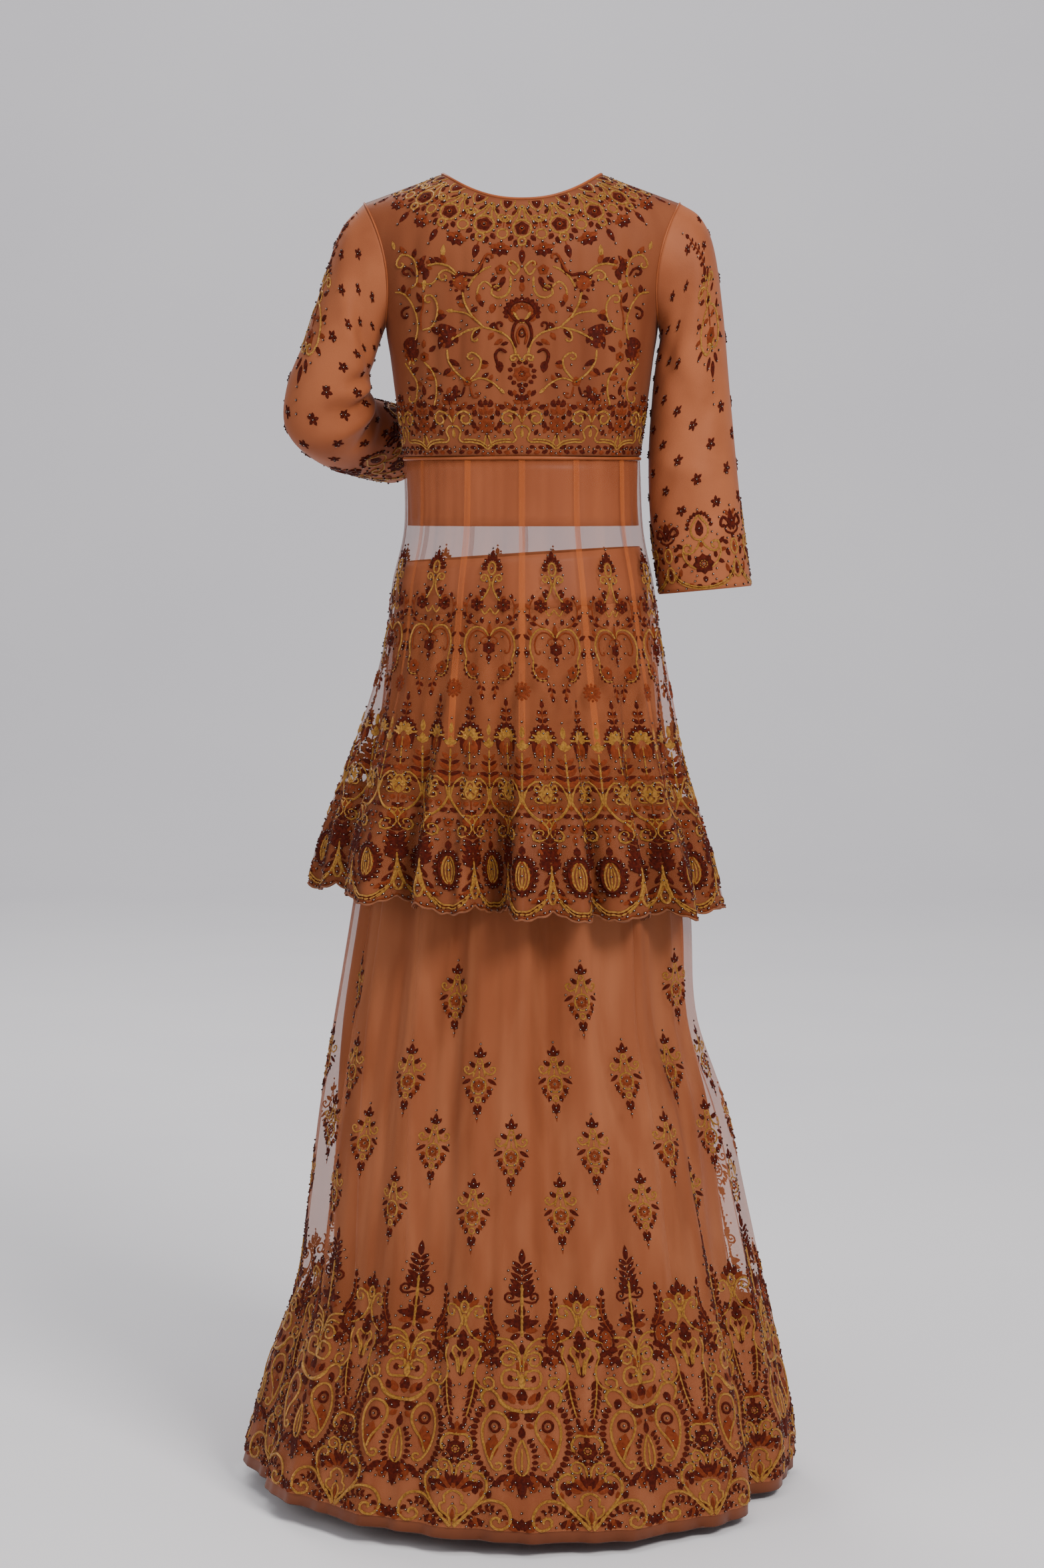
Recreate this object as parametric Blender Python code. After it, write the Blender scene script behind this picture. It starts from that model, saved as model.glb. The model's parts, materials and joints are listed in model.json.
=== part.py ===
"""A sharara suit: a fitted kurti with a gored net peplum, worn over a flared skirt.

Metres, +Z up, hollow and open as it is worn. The origin is the middle of the shoulder line. The
wearer faces -Y. An angle round the body is in degrees from the middle of the back towards the
wearer's right, which is at -X.
"""
import math
from collections import namedtuple

import bpy
from mathutils import Vector

# Cloth
WALL = 0.0012                # thickness of every cloth wall
SEAM_GAP = 0.0003            # two pieces at a seam
SLOPE_STEP = 0.004           # step that the slope of a surface is taken over, as a share
UNIT_LIMITS = ((-1.0, 1.0), (0.0, 1.0))
ROUND_LIMITS = ((-720.0, 720.0), (0.0, 1.0))
DEGREE_STEPS = (math.degrees(SLOPE_STEP), SLOPE_STEP)
SHARP_EDGE = 50.0            # degrees above which an edge of a wall is shaded sharp
NEAR = 1e-6

# Heights
WAIST_SEAM_Z = -0.3250       # lower edge of the bodice
PIPING_RADIUS = 0.0022       # satin piping in the waist seam
MIDRIFF_END_Z = -0.4050      # lower edge of the satin band that hangs from the waist seam
PEPLUM_HEM_Z = -0.8400       # mean height of the kurti's hem
PEPLUM_HEM_TILT = 0.0130     # how much lower that hem is on the wearer's right
SKIRT_TOP_Z = -0.4380        # upper edge of the skirt's waistband
YOKE_SEAM_Z = -0.4990        # seam under the skirt's waistband
SKIRT_TOP_TILT = 0.0090      # how much higher both are on the wearer's right
SKIRT_HEM_Z = -1.5190        # mean height of the skirt's hem
SKIRT_HEM_TILT = 0.0080      # how much lower that hem is on the wearer's right
HEM_STRIP = 0.0120           # plain satin that shows below the net at the skirt's hem
LINING_SHORT = 0.0500        # how much shorter the skirt's lining is than its hem

# Shoulders and neck
SHOULDER_HALF = 0.1820       # middle to shoulder point
SHOULDER_DROP = 0.0330       # shoulder point below the neck point
NECK_HALF = 0.0920           # half the neck's width on the shoulder line
NECK_DEPTH = {"back": 0.0340, "front": 0.0800}
NECK_ROUND = 2.2             # power of the neck's curve
SHOULDER_ROUND = 0.1000      # height over which the shoulder rounds off
BODY_ROUND = 2.4             # power of the bodice's sections, 2 for an ellipse
NECK_STEPS = 5               # columns from the middle to a neck point
BINDING_RADIUS = 0.0018      # satin binding of the neck

# Armhole, a loop from the shoulder point down to the underarm
UNDERARM_X = 0.1580
UNDERARM_Z = -0.1750
ARMHOLE_DIP = 0.0140         # how far its middle lies inside its ends
ARMHOLE_DEPTH = {"back": 0.0560, "front": 0.0500}
ARMHOLE_STEPS = 9            # rows from underarm to shoulder, on each of the two halves
SIDE_STEPS = 5               # rows from the waist seam to the underarm
SHOULDER_STEPS = 4           # columns from a neck point to a shoulder point

# Gores, repeats and scallops
GORES = 12
GORE_COLUMNS = 8
SCALLOPS = 24
SCALLOP_DEPTH = 0.0100
NET_SEAMS = (-60.0, 60.0, 180.0, 300.0)
NET_PANEL_COLUMNS = 35
LINING_COLUMNS = 26
RING_COLUMNS = 48
GATHERS = 26                 # small gathers of the skirt's net at the yoke seam
GATHER_DEPTH = 0.0022
GATHER_END = 0.45            # share of the length where they have died out

# Bodice sections: half the width, and the depth of the back and of the front at the middle
Bust = namedtuple("Bust", "z half back front")
BODICE = [
    Bust(-0.325, 0.1370, 0.0980, 0.1060),
    Bust(-0.260, 0.1465, 0.1050, 0.1230),
    Bust(-0.210, 0.1530, 0.1085, 0.1350),
    Bust(-0.175, 0.1580, 0.1085, 0.1380),
    Bust(-0.110, 0.1580, 0.1040, 0.1270),
    Bust(-0.050, 0.1580, 0.0960, 0.1060),
    Bust(0.000, 0.1580, 0.0880, 0.0880),
]

# Sections of what hangs round the body: how far it reaches to each side
Girth = namedtuple("Girth", "z left right back front")
PEPLUM = [
    Girth(-0.330, 0.1370, 0.1370, 0.0980, 0.1060),
    Girth(-0.410, 0.1370, 0.1410, 0.1020, 0.1080),
    Girth(-0.470, 0.1500, 0.1525, 0.1150, 0.1150),
    Girth(-0.530, 0.1570, 0.1610, 0.1300, 0.1270),
    Girth(-0.600, 0.1730, 0.1740, 0.1500, 0.1450),
    Girth(-0.690, 0.2030, 0.1920, 0.1790, 0.1720),
    Girth(-0.785, 0.2340, 0.2220, 0.2080, 0.2010),
    Girth(-0.860, 0.2450, 0.2400, 0.2260, 0.2190),
]
WAISTBAND = [
    Girth(-0.430, 0.1335, 0.1375, 0.1000, 0.0980),
    Girth(-0.465, 0.1450, 0.1450, 0.1080, 0.1030),
    Girth(-0.510, 0.1500, 0.1500, 0.1180, 0.1130),
]
SKIRT = [
    Girth(-0.490, 0.1490, 0.1500, 0.1155, 0.1105),
    Girth(-0.640, 0.1660, 0.1660, 0.1400, 0.1320),
    Girth(-0.850, 0.1980, 0.1960, 0.1650, 0.1610),
    Girth(-0.980, 0.2200, 0.2040, 0.1880, 0.1840),
    Girth(-1.090, 0.2380, 0.2400, 0.2140, 0.2080),
    Girth(-1.200, 0.2520, 0.2640, 0.2400, 0.2340),
    Girth(-1.300, 0.2660, 0.2860, 0.2660, 0.2600),
    Girth(-1.400, 0.3010, 0.3090, 0.2960, 0.2890),
    Girth(-1.470, 0.3210, 0.3230, 0.3140, 0.3060),
    Girth(-1.530, 0.3380, 0.3240, 0.3270, 0.3190),
]

# Rows of the hanging pieces, as shares of their length
PEPLUM_ROWS = (0.0, 0.15, 0.29, 0.52, 0.76, 0.88, 1.0)
NET_ROWS = (0.0, 0.10, 0.22, 0.36, 0.52, 0.68, 0.82, 0.91, 1.0)
BAND_ROWS = (0.0, 0.5, 1.0)
LINING_STEPS = 7
FACED_ROWS = 3               # lowest rows, which the facing of a hem backs

# How far the skirt's lining hangs inside its net
Ease = namedtuple("Ease", "z inside")
LINING_EASE = [
    Ease(-0.490, 0.0026),
    Ease(-0.640, 0.0070),
    Ease(-0.850, 0.0095),
    Ease(-0.980, 0.0120),
    Ease(-1.090, 0.0220),
    Ease(-1.200, 0.0330),
    Ease(-1.300, 0.0420),
    Ease(-1.530, 0.0600),
]

# Folds: the angle of each valley at top and hem, half its width, and its depth down the length
Fold = namedtuple("Fold", "top_angle hem_angle half_width top middle hem")
PEPLUM_FOLDS = [
    Fold(-6, -9, 13, 0.000, 0.008, 0.046),
    Fold(22, 24, 12, 0.000, 0.004, 0.020),
    Fold(44, 44, 12, 0.000, 0.007, 0.038),
    Fold(66, 68, 12, 0.000, 0.003, 0.022),
    Fold(104, 105, 13, 0.000, 0.004, 0.030),
    Fold(128, 129, 12, 0.000, 0.006, 0.036),
    Fold(152, 153, 12, 0.000, 0.003, 0.022),
    Fold(177, 177, 14, 0.000, 0.005, 0.034),
    Fold(-36, -37, 13, 0.000, 0.005, 0.024),
    Fold(-64, -68, 13, 0.000, 0.003, 0.022),
    Fold(-106, -106, 13, 0.000, 0.005, 0.032),
    Fold(-130, -129, 12, 0.000, 0.004, 0.024),
    Fold(-155, -154, 13, 0.000, 0.006, 0.036),
]
SKIRT_FOLDS = [
    Fold(-25, -24, 13, 0.001, 0.017, 0.009),
    Fold(11, 9, 12, 0.001, 0.015, 0.007),
    Fold(50, 64, 13, 0.001, 0.017, 0.036),
    Fold(30, 33, 11, 0.001, 0.008, 0.009),
    Fold(-7, -8, 10, 0.000, 0.005, 0.008),
    Fold(-46, -44, 11, 0.001, 0.009, 0.008),
    Fold(-70, -72, 12, 0.001, 0.012, 0.014),
    Fold(76, 80, 10, 0.001, 0.007, 0.010),
    Fold(107, 108, 13, 0.001, 0.015, 0.014),
    Fold(135, 138, 12, 0.001, 0.012, 0.022),
    Fold(160, 162, 13, 0.001, 0.016, 0.010),
    Fold(-172, -170, 12, 0.001, 0.009, 0.018),
    Fold(-150, -149, 12, 0.001, 0.015, 0.010),
    Fold(-126, -127, 12, 0.001, 0.009, 0.020),
    Fold(-104, -106, 12, 0.001, 0.013, 0.012),
]
LINING_FOLDS = [
    Fold(-25, -24, 16, 0.000, 0.012, 0.014),
    Fold(11, 9, 15, 0.000, 0.012, 0.012),
    Fold(50, 56, 16, 0.000, 0.010, 0.010),
    Fold(-70, -72, 16, 0.000, 0.008, 0.012),
    Fold(107, 108, 16, 0.000, 0.010, 0.012),
    Fold(160, 162, 16, 0.000, 0.010, 0.012),
    Fold(-150, -149, 16, 0.000, 0.010, 0.012),
    Fold(-104, -106, 16, 0.000, 0.008, 0.010),
]

# Sleeves, as rings between an outer and an inner line, for the sleeve at +X
Ring = namedtuple("Ring", "share outer inner half_depth")
STRAIGHT_SLEEVE = [
    Ring(0.00, (0.182, 0.000, -0.033), (0.1590, 0.000, -0.1750), 0.0530),
    Ring(0.10, (0.206, 0.000, -0.049), (0.1605, 0.000, -0.1890), 0.0550),
    Ring(0.22, (0.222, 0.000, -0.083), (0.1560, 0.000, -0.2140), 0.0560),
    Ring(0.38, (0.233, 0.000, -0.155), (0.1515, 0.000, -0.2560), 0.0560),
    Ring(0.58, (0.243, 0.000, -0.262), (0.1475, 0.000, -0.3240), 0.0540),
    Ring(0.80, (0.255, 0.002, -0.380), (0.1500, 0.002, -0.4060), 0.0520),
    Ring(1.00, (0.268, 0.004, -0.475), (0.1600, 0.004, -0.4850), 0.0500),
]
BENT_SLEEVE = [
    Ring(0.00, (0.182, 0.000, -0.033), (0.1590, 0.000, -0.1750), 0.0530),
    Ring(0.12, (0.209, 0.002, -0.063), (0.1640, 0.000, -0.1900), 0.0530),
    Ring(0.26, (0.229, 0.005, -0.118), (0.1700, 0.000, -0.2080), 0.0510),
    Ring(0.40, (0.249, 0.012, -0.184), (0.1750, -0.006, -0.2260), 0.0490),
    Ring(0.52, (0.268, 0.020, -0.244), (0.1790, -0.022, -0.2400), 0.0470),
    Ring(0.63, (0.268, 0.010, -0.300), (0.1820, -0.048, -0.2500), 0.0450),
    Ring(0.75, (0.242, -0.038, -0.330), (0.1760, -0.082, -0.2560), 0.0440),
    Ring(0.88, (0.204, -0.096, -0.345), (0.1560, -0.122, -0.2600), 0.0430),
    Ring(1.00, (0.166, -0.146, -0.354), (0.1260, -0.164, -0.2660), 0.0430),
]
SLEEVE_COLUMNS = 2 * ARMHOLE_STEPS
STRAIGHT_ROWS = 12
UPPER_ROWS = 8
LOWER_ROWS = 7
ELBOW = 0.545                # share of the bent sleeve where its solids part, inside the bend
ELBOW_GAP = 0.001            # gap there, as a share
RUN_STEP = 0.02              # step that a sleeve's run is taken over, as a share
ARMHOLE_FADE = 0.20          # share of the sleeve where the armhole's own shape has died out
Crease = namedtuple("Crease", "share width angle spread depth")
STRAIGHT_CREASES = [
    Crease(0.24, 0.10, 120, 70, 0.004),
    Crease(0.46, 0.12, 70, 80, 0.003),
    Crease(0.72, 0.14, 110, 90, 0.003),
]
BENT_CREASES = [
    Crease(0.30, 0.10, 110, 70, 0.004),
    Crease(0.50, 0.07, 160, 80, 0.006),
    Crease(0.60, 0.06, 175, 90, 0.008),
    Crease(0.72, 0.07, 165, 80, 0.006),
]

# Colour, roughness and metallic value of each material
Finish = namedtuple("Finish", "colour roughness metallic")
FINISHES = {
    "satin": Finish((0.352, 0.118, 0.042), 0.42, 0.0),
    "net": Finish((0.400, 0.135, 0.045), 0.70, 0.0),
    "embroidered_net": Finish((0.300, 0.095, 0.034), 0.62, 0.0),
    "binding": Finish((0.420, 0.150, 0.058), 0.38, 0.0),
}


def clear_scene():
    """Remove what the scene starts with."""
    for thing in list(bpy.data.objects):
        bpy.data.objects.remove(thing, do_unlink=True)


def material(slot):
    """The material of one finish, made once."""
    found = bpy.data.materials.get(slot)
    if found:
        return found
    made = bpy.data.materials.new(slot)
    made.use_nodes = True
    finish = FINISHES[slot]
    shader = made.node_tree.nodes["Principled BSDF"]
    shader.inputs["Base Color"].default_value = (*finish.colour, 1.0)
    shader.inputs["Roughness"].default_value = finish.roughness
    shader.inputs["Metallic"].default_value = finish.metallic
    made.diffuse_color = (*finish.colour, 1.0)
    return made


def spread(low, high, steps):
    """Evenly spaced values from low to high."""
    return [low + (high - low) * step / steps for step in range(steps + 1)]


def smooth(table, key, column):
    """A column of a table read at a key, on a smooth curve through its rows."""
    keys = [row[0] for row in table]
    rising = keys[-1] > keys[0]
    key = min(max(key, min(keys)), max(keys))
    last = len(table) - 2
    index = next((i for i in range(last) if (key <= keys[i + 1]) == rising), last)
    before, after = max(index - 1, 0), min(index + 2, last + 1)
    span = keys[index + 1] - keys[index]
    share = (key - keys[index]) / span
    values = [Vector(v) if isinstance(v, tuple) else v
              for v in (getattr(row, column) for row in table)]
    start_slope = (values[index + 1] - values[before]) / (keys[index + 1] - keys[before])
    end_slope = (values[after] - values[index]) / (keys[after] - keys[index])
    left = values[index] * (1 + 2 * share) * (1 - share) ** 2
    right = values[index + 1] * share ** 2 * (3 - 2 * share)
    slopes = start_slope * share * (1 - share) ** 2 - end_slope * share ** 2 * (1 - share)
    return left + right + slopes * span


def fold_depth(folds, angle, share):
    """How far the folds draw a hanging piece in."""
    depth = 0.0
    for fold in folds:
        middle = fold.top_angle + (fold.hem_angle - fold.top_angle) * share
        apart = abs((angle - middle + 180.0) % 360.0 - 180.0) / fold.half_width
        if apart < 1.0:
            down = (fold.top * (1 - share) * (1 - 2 * share) + fold.middle * 4 * share * (1 - share)
                    + fold.hem * share * (2 * share - 1))
            depth += max(down, 0.0) * (0.5 + 0.5 * math.cos(math.pi * apart))
    return depth


def girth_point(table, angle, z, inward=0.0):
    """A point of a girth at an angle and a height, moved inward."""
    turn = math.radians(angle)
    side = "right" if math.sin(turn) > 0.0 else "left"
    face = "back" if math.cos(turn) > 0.0 else "front"
    across = -math.sin(turn) * smooth(table, z, side)
    along = math.cos(turn) * smooth(table, z, face)
    keep = 1.0 - inward / math.hypot(across, along)
    return Vector((across * keep, along * keep, z))


def tilt(angle):
    """One on the wearer's right, minus one on the left."""
    return math.sin(math.radians(angle))


def yoke_seam_z(angle):
    """Height of the seam under the skirt's waistband."""
    return YOKE_SEAM_Z + SKIRT_TOP_TILT * tilt(angle)


def skirt_hem_z(angle):
    """Height of the skirt's lowest edge."""
    return SKIRT_HEM_Z - SKIRT_HEM_TILT * tilt(angle)


def between(high, low, share):
    """A value at a share of the way down."""
    return high + (low - high) * share


def bodice_top_z(x, face):
    """Height of the neck curve and of the shoulder seam across the bodice."""
    if abs(x) < NECK_HALF:
        return -NECK_DEPTH[face] * (1.0 - (abs(x) / NECK_HALF) ** NECK_ROUND)
    return -SHOULDER_DROP * (abs(x) - NECK_HALF) / (SHOULDER_HALF - NECK_HALF)


def armhole_point(turn, face):
    """The armhole's loop at +X: turn 0 is the shoulder point, pi the underarm."""
    dip = ARMHOLE_DIP * math.sin(turn) ** 2
    x = (SHOULDER_HALF + UNDERARM_X) / 2 + (SHOULDER_HALF - UNDERARM_X) / 2 * math.cos(turn) - dip
    z = (UNDERARM_Z - SHOULDER_DROP) / 2 + (-SHOULDER_DROP - UNDERARM_Z) / 2 * math.cos(turn)
    return Vector((x, ARMHOLE_DEPTH[face] * abs(math.sin(turn)), z))


def bodice_edge(height_share, face):
    """The side seam and the armhole above it, at +X."""
    z = WAIST_SEAM_Z + (-SHOULDER_DROP - WAIST_SEAM_Z) * height_share
    if z <= UNDERARM_Z:
        return Vector((smooth(BODICE, z, "half"), 0.0, z))
    middle = (UNDERARM_Z - SHOULDER_DROP) / 2
    half = (-SHOULDER_DROP - UNDERARM_Z) / 2
    return armhole_point(math.acos(min(max((z - middle) / half, -1.0), 1.0)), face)


def bodice_surface(face):
    """The outer surface of the bodice's back or front, over shares across and up."""
    sign = 1.0 if face == "back" else -1.0

    def shoulder(x, z):
        ridge = bodice_top_z(x, face) if abs(x) >= NECK_HALF else 0.0
        below = min(max((ridge - z) / SHOULDER_ROUND, 0.0), 1.0)
        return math.sqrt(1.0 - (1.0 - below) ** 2)

    def point(across, up):
        edge = bodice_edge(up, face)
        top = bodice_top_z(SHOULDER_HALF * across, face)
        z = WAIST_SEAM_Z + (top - WAIST_SEAM_Z) * up
        x = edge.x * across
        at_edge = smooth(BODICE, edge.z, face) * shoulder(edge.x, edge.z)
        reach = edge.x
        if edge.y > 0.0:
            reach /= (1.0 - (edge.y / at_edge) ** 2) ** (1.0 / BODY_ROUND)
        swell = math.sqrt(max(1.0 - (abs(x) / reach) ** BODY_ROUND, 0.0))
        depth = smooth(BODICE, z, face) * shoulder(x, z) * swell
        return Vector((x, sign * (depth + SEAM_GAP / 2), z))

    return point


def bodice_shares():
    """Shares across, with a line at each neck point, and shares up, with the armhole's rows."""
    neck = NECK_HALF / SHOULDER_HALF
    half = [neck * math.sin(math.pi / 2 * step / NECK_STEPS) for step in range(NECK_STEPS + 1)]
    half += [neck + (1.0 - neck) * math.sin(math.pi / 2 * step / SHOULDER_STEPS)
             for step in range(1, SHOULDER_STEPS + 1)]
    across = [-share for share in reversed(half[1:])] + half
    height = -SHOULDER_DROP - WAIST_SEAM_Z
    up = spread(0.0, (UNDERARM_Z - WAIST_SEAM_Z) / height, SIDE_STEPS)
    for step in range(1, ARMHOLE_STEPS + 1):
        turn = math.pi * (1.0 - step / ARMHOLE_STEPS)
        up.append((armhole_point(turn, "back").z - WAIST_SEAM_Z) / height)
    return across, up


def sleeve_surface(rings, creases, side):
    """The outer surface of a sleeve, over degrees round it and shares along it."""

    def ring_point(turn, share):
        outer = smooth(rings, share, "outer")
        inner = smooth(rings, share, "inner")
        ahead, behind = min(share + RUN_STEP, 1.0), max(share - RUN_STEP, 0.0)
        run = (smooth(rings, ahead, "outer") + smooth(rings, ahead, "inner")
               - smooth(rings, behind, "outer") - smooth(rings, behind, "inner"))
        half = (outer - inner) / 2
        flank = half.cross(run).normalized()
        if flank.y < 0.0:
            flank = -flank
        depth = smooth(rings, share, "half_depth")
        return (outer + inner) / 2 + half * math.cos(turn) + flank * depth * math.sin(turn)

    def point(angle, share):
        turn = math.radians(angle)
        place = ring_point(turn, share)
        fade = max(1.0 - share / ARMHOLE_FADE, 0.0) ** 2
        if fade > 0.0:
            face = "back" if math.sin(turn) >= 0.0 else "front"
            loop = armhole_point(turn, face)
            if face == "front":
                loop.y = -loop.y
            loop.x += 2 * SEAM_GAP
            place += (loop - ring_point(turn, 0.0)) * fade
        middle = (smooth(rings, share, "outer") + smooth(rings, share, "inner")) / 2
        for crease in creases:
            along = (share - crease.share) / crease.width
            around = ((angle - crease.angle + 180.0) % 360.0 - 180.0) / crease.spread
            if abs(along) < 1.0 and abs(around) < 1.0:
                sink = (0.5 + 0.5 * math.cos(math.pi * along)) * math.cos(math.pi / 2 * around)
                place += (middle - place).normalized() * crease.depth * sink
        return Vector((place.x * side, place.y, place.z))

    return point


def peplum_surface(angle, share):
    """The outer surface of the kurti's peplum, over degrees round and shares down."""
    top = WAIST_SEAM_Z - 2 * SEAM_GAP - 2 * PIPING_RADIUS
    scallop = SCALLOP_DEPTH * (1.0 - abs(math.cos(math.radians(angle) * SCALLOPS / 2)))
    hem = PEPLUM_HEM_Z - PEPLUM_HEM_TILT * tilt(angle) + scallop * share ** 4
    z = between(top, hem, share)
    return girth_point(PEPLUM, angle, z, fold_depth(PEPLUM_FOLDS, angle, share))


def skirt_surface(angle, share):
    """The outer surface of the skirt's net, over degrees round and shares down."""
    z = between(yoke_seam_z(angle) - SEAM_GAP, skirt_hem_z(angle) + HEM_STRIP, share)
    gather = GATHER_DEPTH * (0.5 + 0.5 * math.cos(math.radians(angle) * GATHERS))
    gather *= max(1.0 - share / GATHER_END, 0.0)
    drawn_in = fold_depth(SKIRT_FOLDS, angle, min(share, 1.0)) - gather
    return girth_point(SKIRT, angle, z, drawn_in)


def lining_surface(angle, share):
    """The outer surface of the skirt's lining."""
    z = between(yoke_seam_z(angle) - SEAM_GAP, skirt_hem_z(angle) + LINING_SHORT, share)
    drawn_in = fold_depth(SKIRT_FOLDS, angle, share) + fold_depth(LINING_FOLDS, angle, share)
    return girth_point(SKIRT, angle, z, drawn_in + smooth(LINING_EASE, z, "inside"))


def waistband_surface(angle, share):
    """The outer surface of the skirt's satin waistband."""
    z = between(SKIRT_TOP_Z + SKIRT_TOP_TILT * tilt(angle), yoke_seam_z(angle), share)
    return girth_point(WAISTBAND, angle, z)


def midriff_surface(angle, share):
    """The outer surface of the satin band that hangs inside the peplum."""
    z = between(WAIST_SEAM_Z - 2 * SEAM_GAP - 2 * PIPING_RADIUS, MIDRIFF_END_Z, share)
    return girth_point(PEPLUM, angle, z, WALL + 3 * SEAM_GAP)


def normal(surface, first, second, steps, limits):
    """The outward direction of a surface at a place."""
    low = [max(value - step, limit[0]) for value, step, limit in zip((first, second), steps, limits)]
    high = [min(value + step, limit[1]) for value, step, limit in zip((first, second), steps, limits)]
    one = surface(high[0], second) - surface(low[0], second)
    two = surface(first, high[1]) - surface(first, low[1])
    return two.cross(one).normalized()


def add_wall(name, outer, inner, slot, ring=False):
    """A closed wall between two grids of points, its first grid facing out."""
    rows, columns = len(outer), len(outer[0])
    points = [point for grid in (outer, inner) for row in grid for point in row]
    wide = columns if ring else columns - 1

    def at(layer, row, column):
        return layer * rows * columns + row * columns + column % columns

    faces = []
    for row in range(rows - 1):
        for column in range(wide):
            for layer in (0, 1):
                a, b = at(layer, row, column), at(layer, row, column + 1)
                c, d = at(layer, row + 1, column + 1), at(layer, row + 1, column)
                faces += [(a, b, c), (a, c, d)] if layer == 0 else [(a, c, b), (a, d, c)]
    for column in range(wide):
        for row, flip in ((0, True), (rows - 1, False)):
            a, b = at(0, row, column), at(0, row, column + 1)
            c, d = at(1, row, column + 1), at(1, row, column)
            faces += [(a, c, b), (a, d, c)] if flip else [(a, b, c), (a, c, d)]
    if not ring:
        for row in range(rows - 1):
            for column, flip in ((0, False), (columns - 1, True)):
                a, b = at(0, row, column), at(0, row + 1, column)
                c, d = at(1, row + 1, column), at(1, row, column)
                faces += [(a, c, b), (a, d, c)] if flip else [(a, b, c), (a, c, d)]
    mesh = bpy.data.meshes.new(name)
    mesh.from_pydata([tuple(point) for point in points], [], faces)
    volume = sum(points[a].dot(points[b].cross(points[c])) for a, b, c in faces)
    if volume < 0.0:
        mesh.flip_normals()
    mesh.shade_smooth()
    mesh.set_sharp_from_angle(angle=math.radians(SHARP_EDGE))
    mesh.materials.append(material(slot))
    piece = bpy.data.objects.new(name, mesh)
    bpy.context.collection.objects.link(piece)
    return piece


def add_cloth(name, surface, rows_of_places, slot, steps, limits, lift=0.0, ring=False, turned=1.0,
              seam_axes=None):
    """A cloth wall on a surface: places by row, and how far its outer face is lifted.

    Where a place lies on a seam, the wall's rim is kept from leaning along the seam's axes.
    """
    outer, inner = [], []
    for row in rows_of_places:
        outer.append([])
        inner.append([])
        for first, second in row:
            out = normal(surface, first, second, steps, limits) * turned
            for axis in seam_axes(first, second) if seam_axes else ():
                out[axis] = 0.0
            out.normalize()
            place = surface(first, second)
            outer[-1].append(place + out * lift)
            inner[-1].append(place + out * (lift - WALL))
    return add_wall(name, outer, inner, slot, ring)


def add_hanging(name, surface, shares, slot, columns, span=None, lift=0.0, start=0.0):
    """A piece that hangs round the body: a whole ring, or a panel between two angles."""
    rows = []
    for share in shares:
        if span is None:
            rows.append([(start + 360.0 * column / columns, share) for column in range(columns)])
            continue
        edge = []
        for angle, sign in zip(span, (1.0, -1.0)):
            place = surface(angle, share)
            edge.append(angle + sign * math.degrees(SEAM_GAP / 2 / math.hypot(place.x, place.y)))
        rows.append([(angle, share) for angle in spread(*edge, columns)])
    limits = (ROUND_LIMITS[0], (0.0, max(shares)))
    return add_cloth(name, surface, rows, slot, DEGREE_STEPS, limits, lift, span is None)


def add_cord(name, path, across, radius, slot, sides=4):
    """A closed cord along a closed path, with an across direction at each of its points."""
    count = len(path)
    grid = []
    for side in range(sides):
        turn = 2 * math.pi * side / sides
        row = []
        for index, place in enumerate(path):
            along = (path[(index + 1) % count] - path[index - 1]).normalized()
            one = (across[index] - along * along.dot(across[index])).normalized()
            two = along.cross(one)
            row.append(place + one * radius * math.cos(turn) + two * radius * math.sin(turn))
        grid.append(row)
    faces = []
    for side in range(sides):
        for index in range(count):
            a, b = side * count + index, side * count + (index + 1) % count
            c = (side + 1) % sides * count + (index + 1) % count
            d = (side + 1) % sides * count + index
            faces += [(a, b, c), (a, c, d)]
    points = [point for row in grid for point in row]
    mesh = bpy.data.meshes.new(name)
    mesh.from_pydata([tuple(point) for point in points], [], faces)
    if sum(points[a].dot(points[b].cross(points[c])) for a, b, c in faces) < 0.0:
        mesh.flip_normals()
    mesh.shade_smooth()
    mesh.materials.append(material(slot))
    piece = bpy.data.objects.new(name, mesh)
    bpy.context.collection.objects.link(piece)
    return piece


def add_bodice():
    """The back and the front of the bodice, of embroidered net mounted on satin."""
    across, up = bodice_shares()

    def top_seam(share, height):
        from_neck = abs(share) * SHOULDER_HALF - NECK_HALF
        if height < 1.0 - NEAR:
            return ()
        return (0,) if from_neck < -NEAR else (0, 1) if from_neck < NEAR else (1,)

    for face in ("back", "front"):
        rows = [[(share, height) for share in across] for height in reversed(up)]
        turned = 1.0 if face == "back" else -1.0
        add_cloth(f"bodice_{face}", bodice_surface(face), rows, "embroidered_net",
                  (SLOPE_STEP, SLOPE_STEP), UNIT_LIMITS, turned=turned, seam_axes=top_seam)


def neck_loop():
    """The bodice's edge round the neck, and the outward direction at each of its points."""
    shares = [share for share in bodice_shares()[0] if abs(share) * SHOULDER_HALF < NECK_HALF + NEAR]
    edge, outward = [], []
    for face, turned in (("back", 1.0), ("front", -1.0)):
        surface = bodice_surface(face)
        for share in shares if face == "back" else reversed(shares[1:-1]):
            edge.append(surface(share, 1.0))
            outward.append(turned * normal(surface, share, 1.0, (SLOPE_STEP, SLOPE_STEP), UNIT_LIMITS))
    for corner in (0, len(shares) - 1):
        edge[corner].y = 0.0
        outward[corner] = Vector((0.0, 0.0, 1.0))
    return edge, outward


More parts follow.
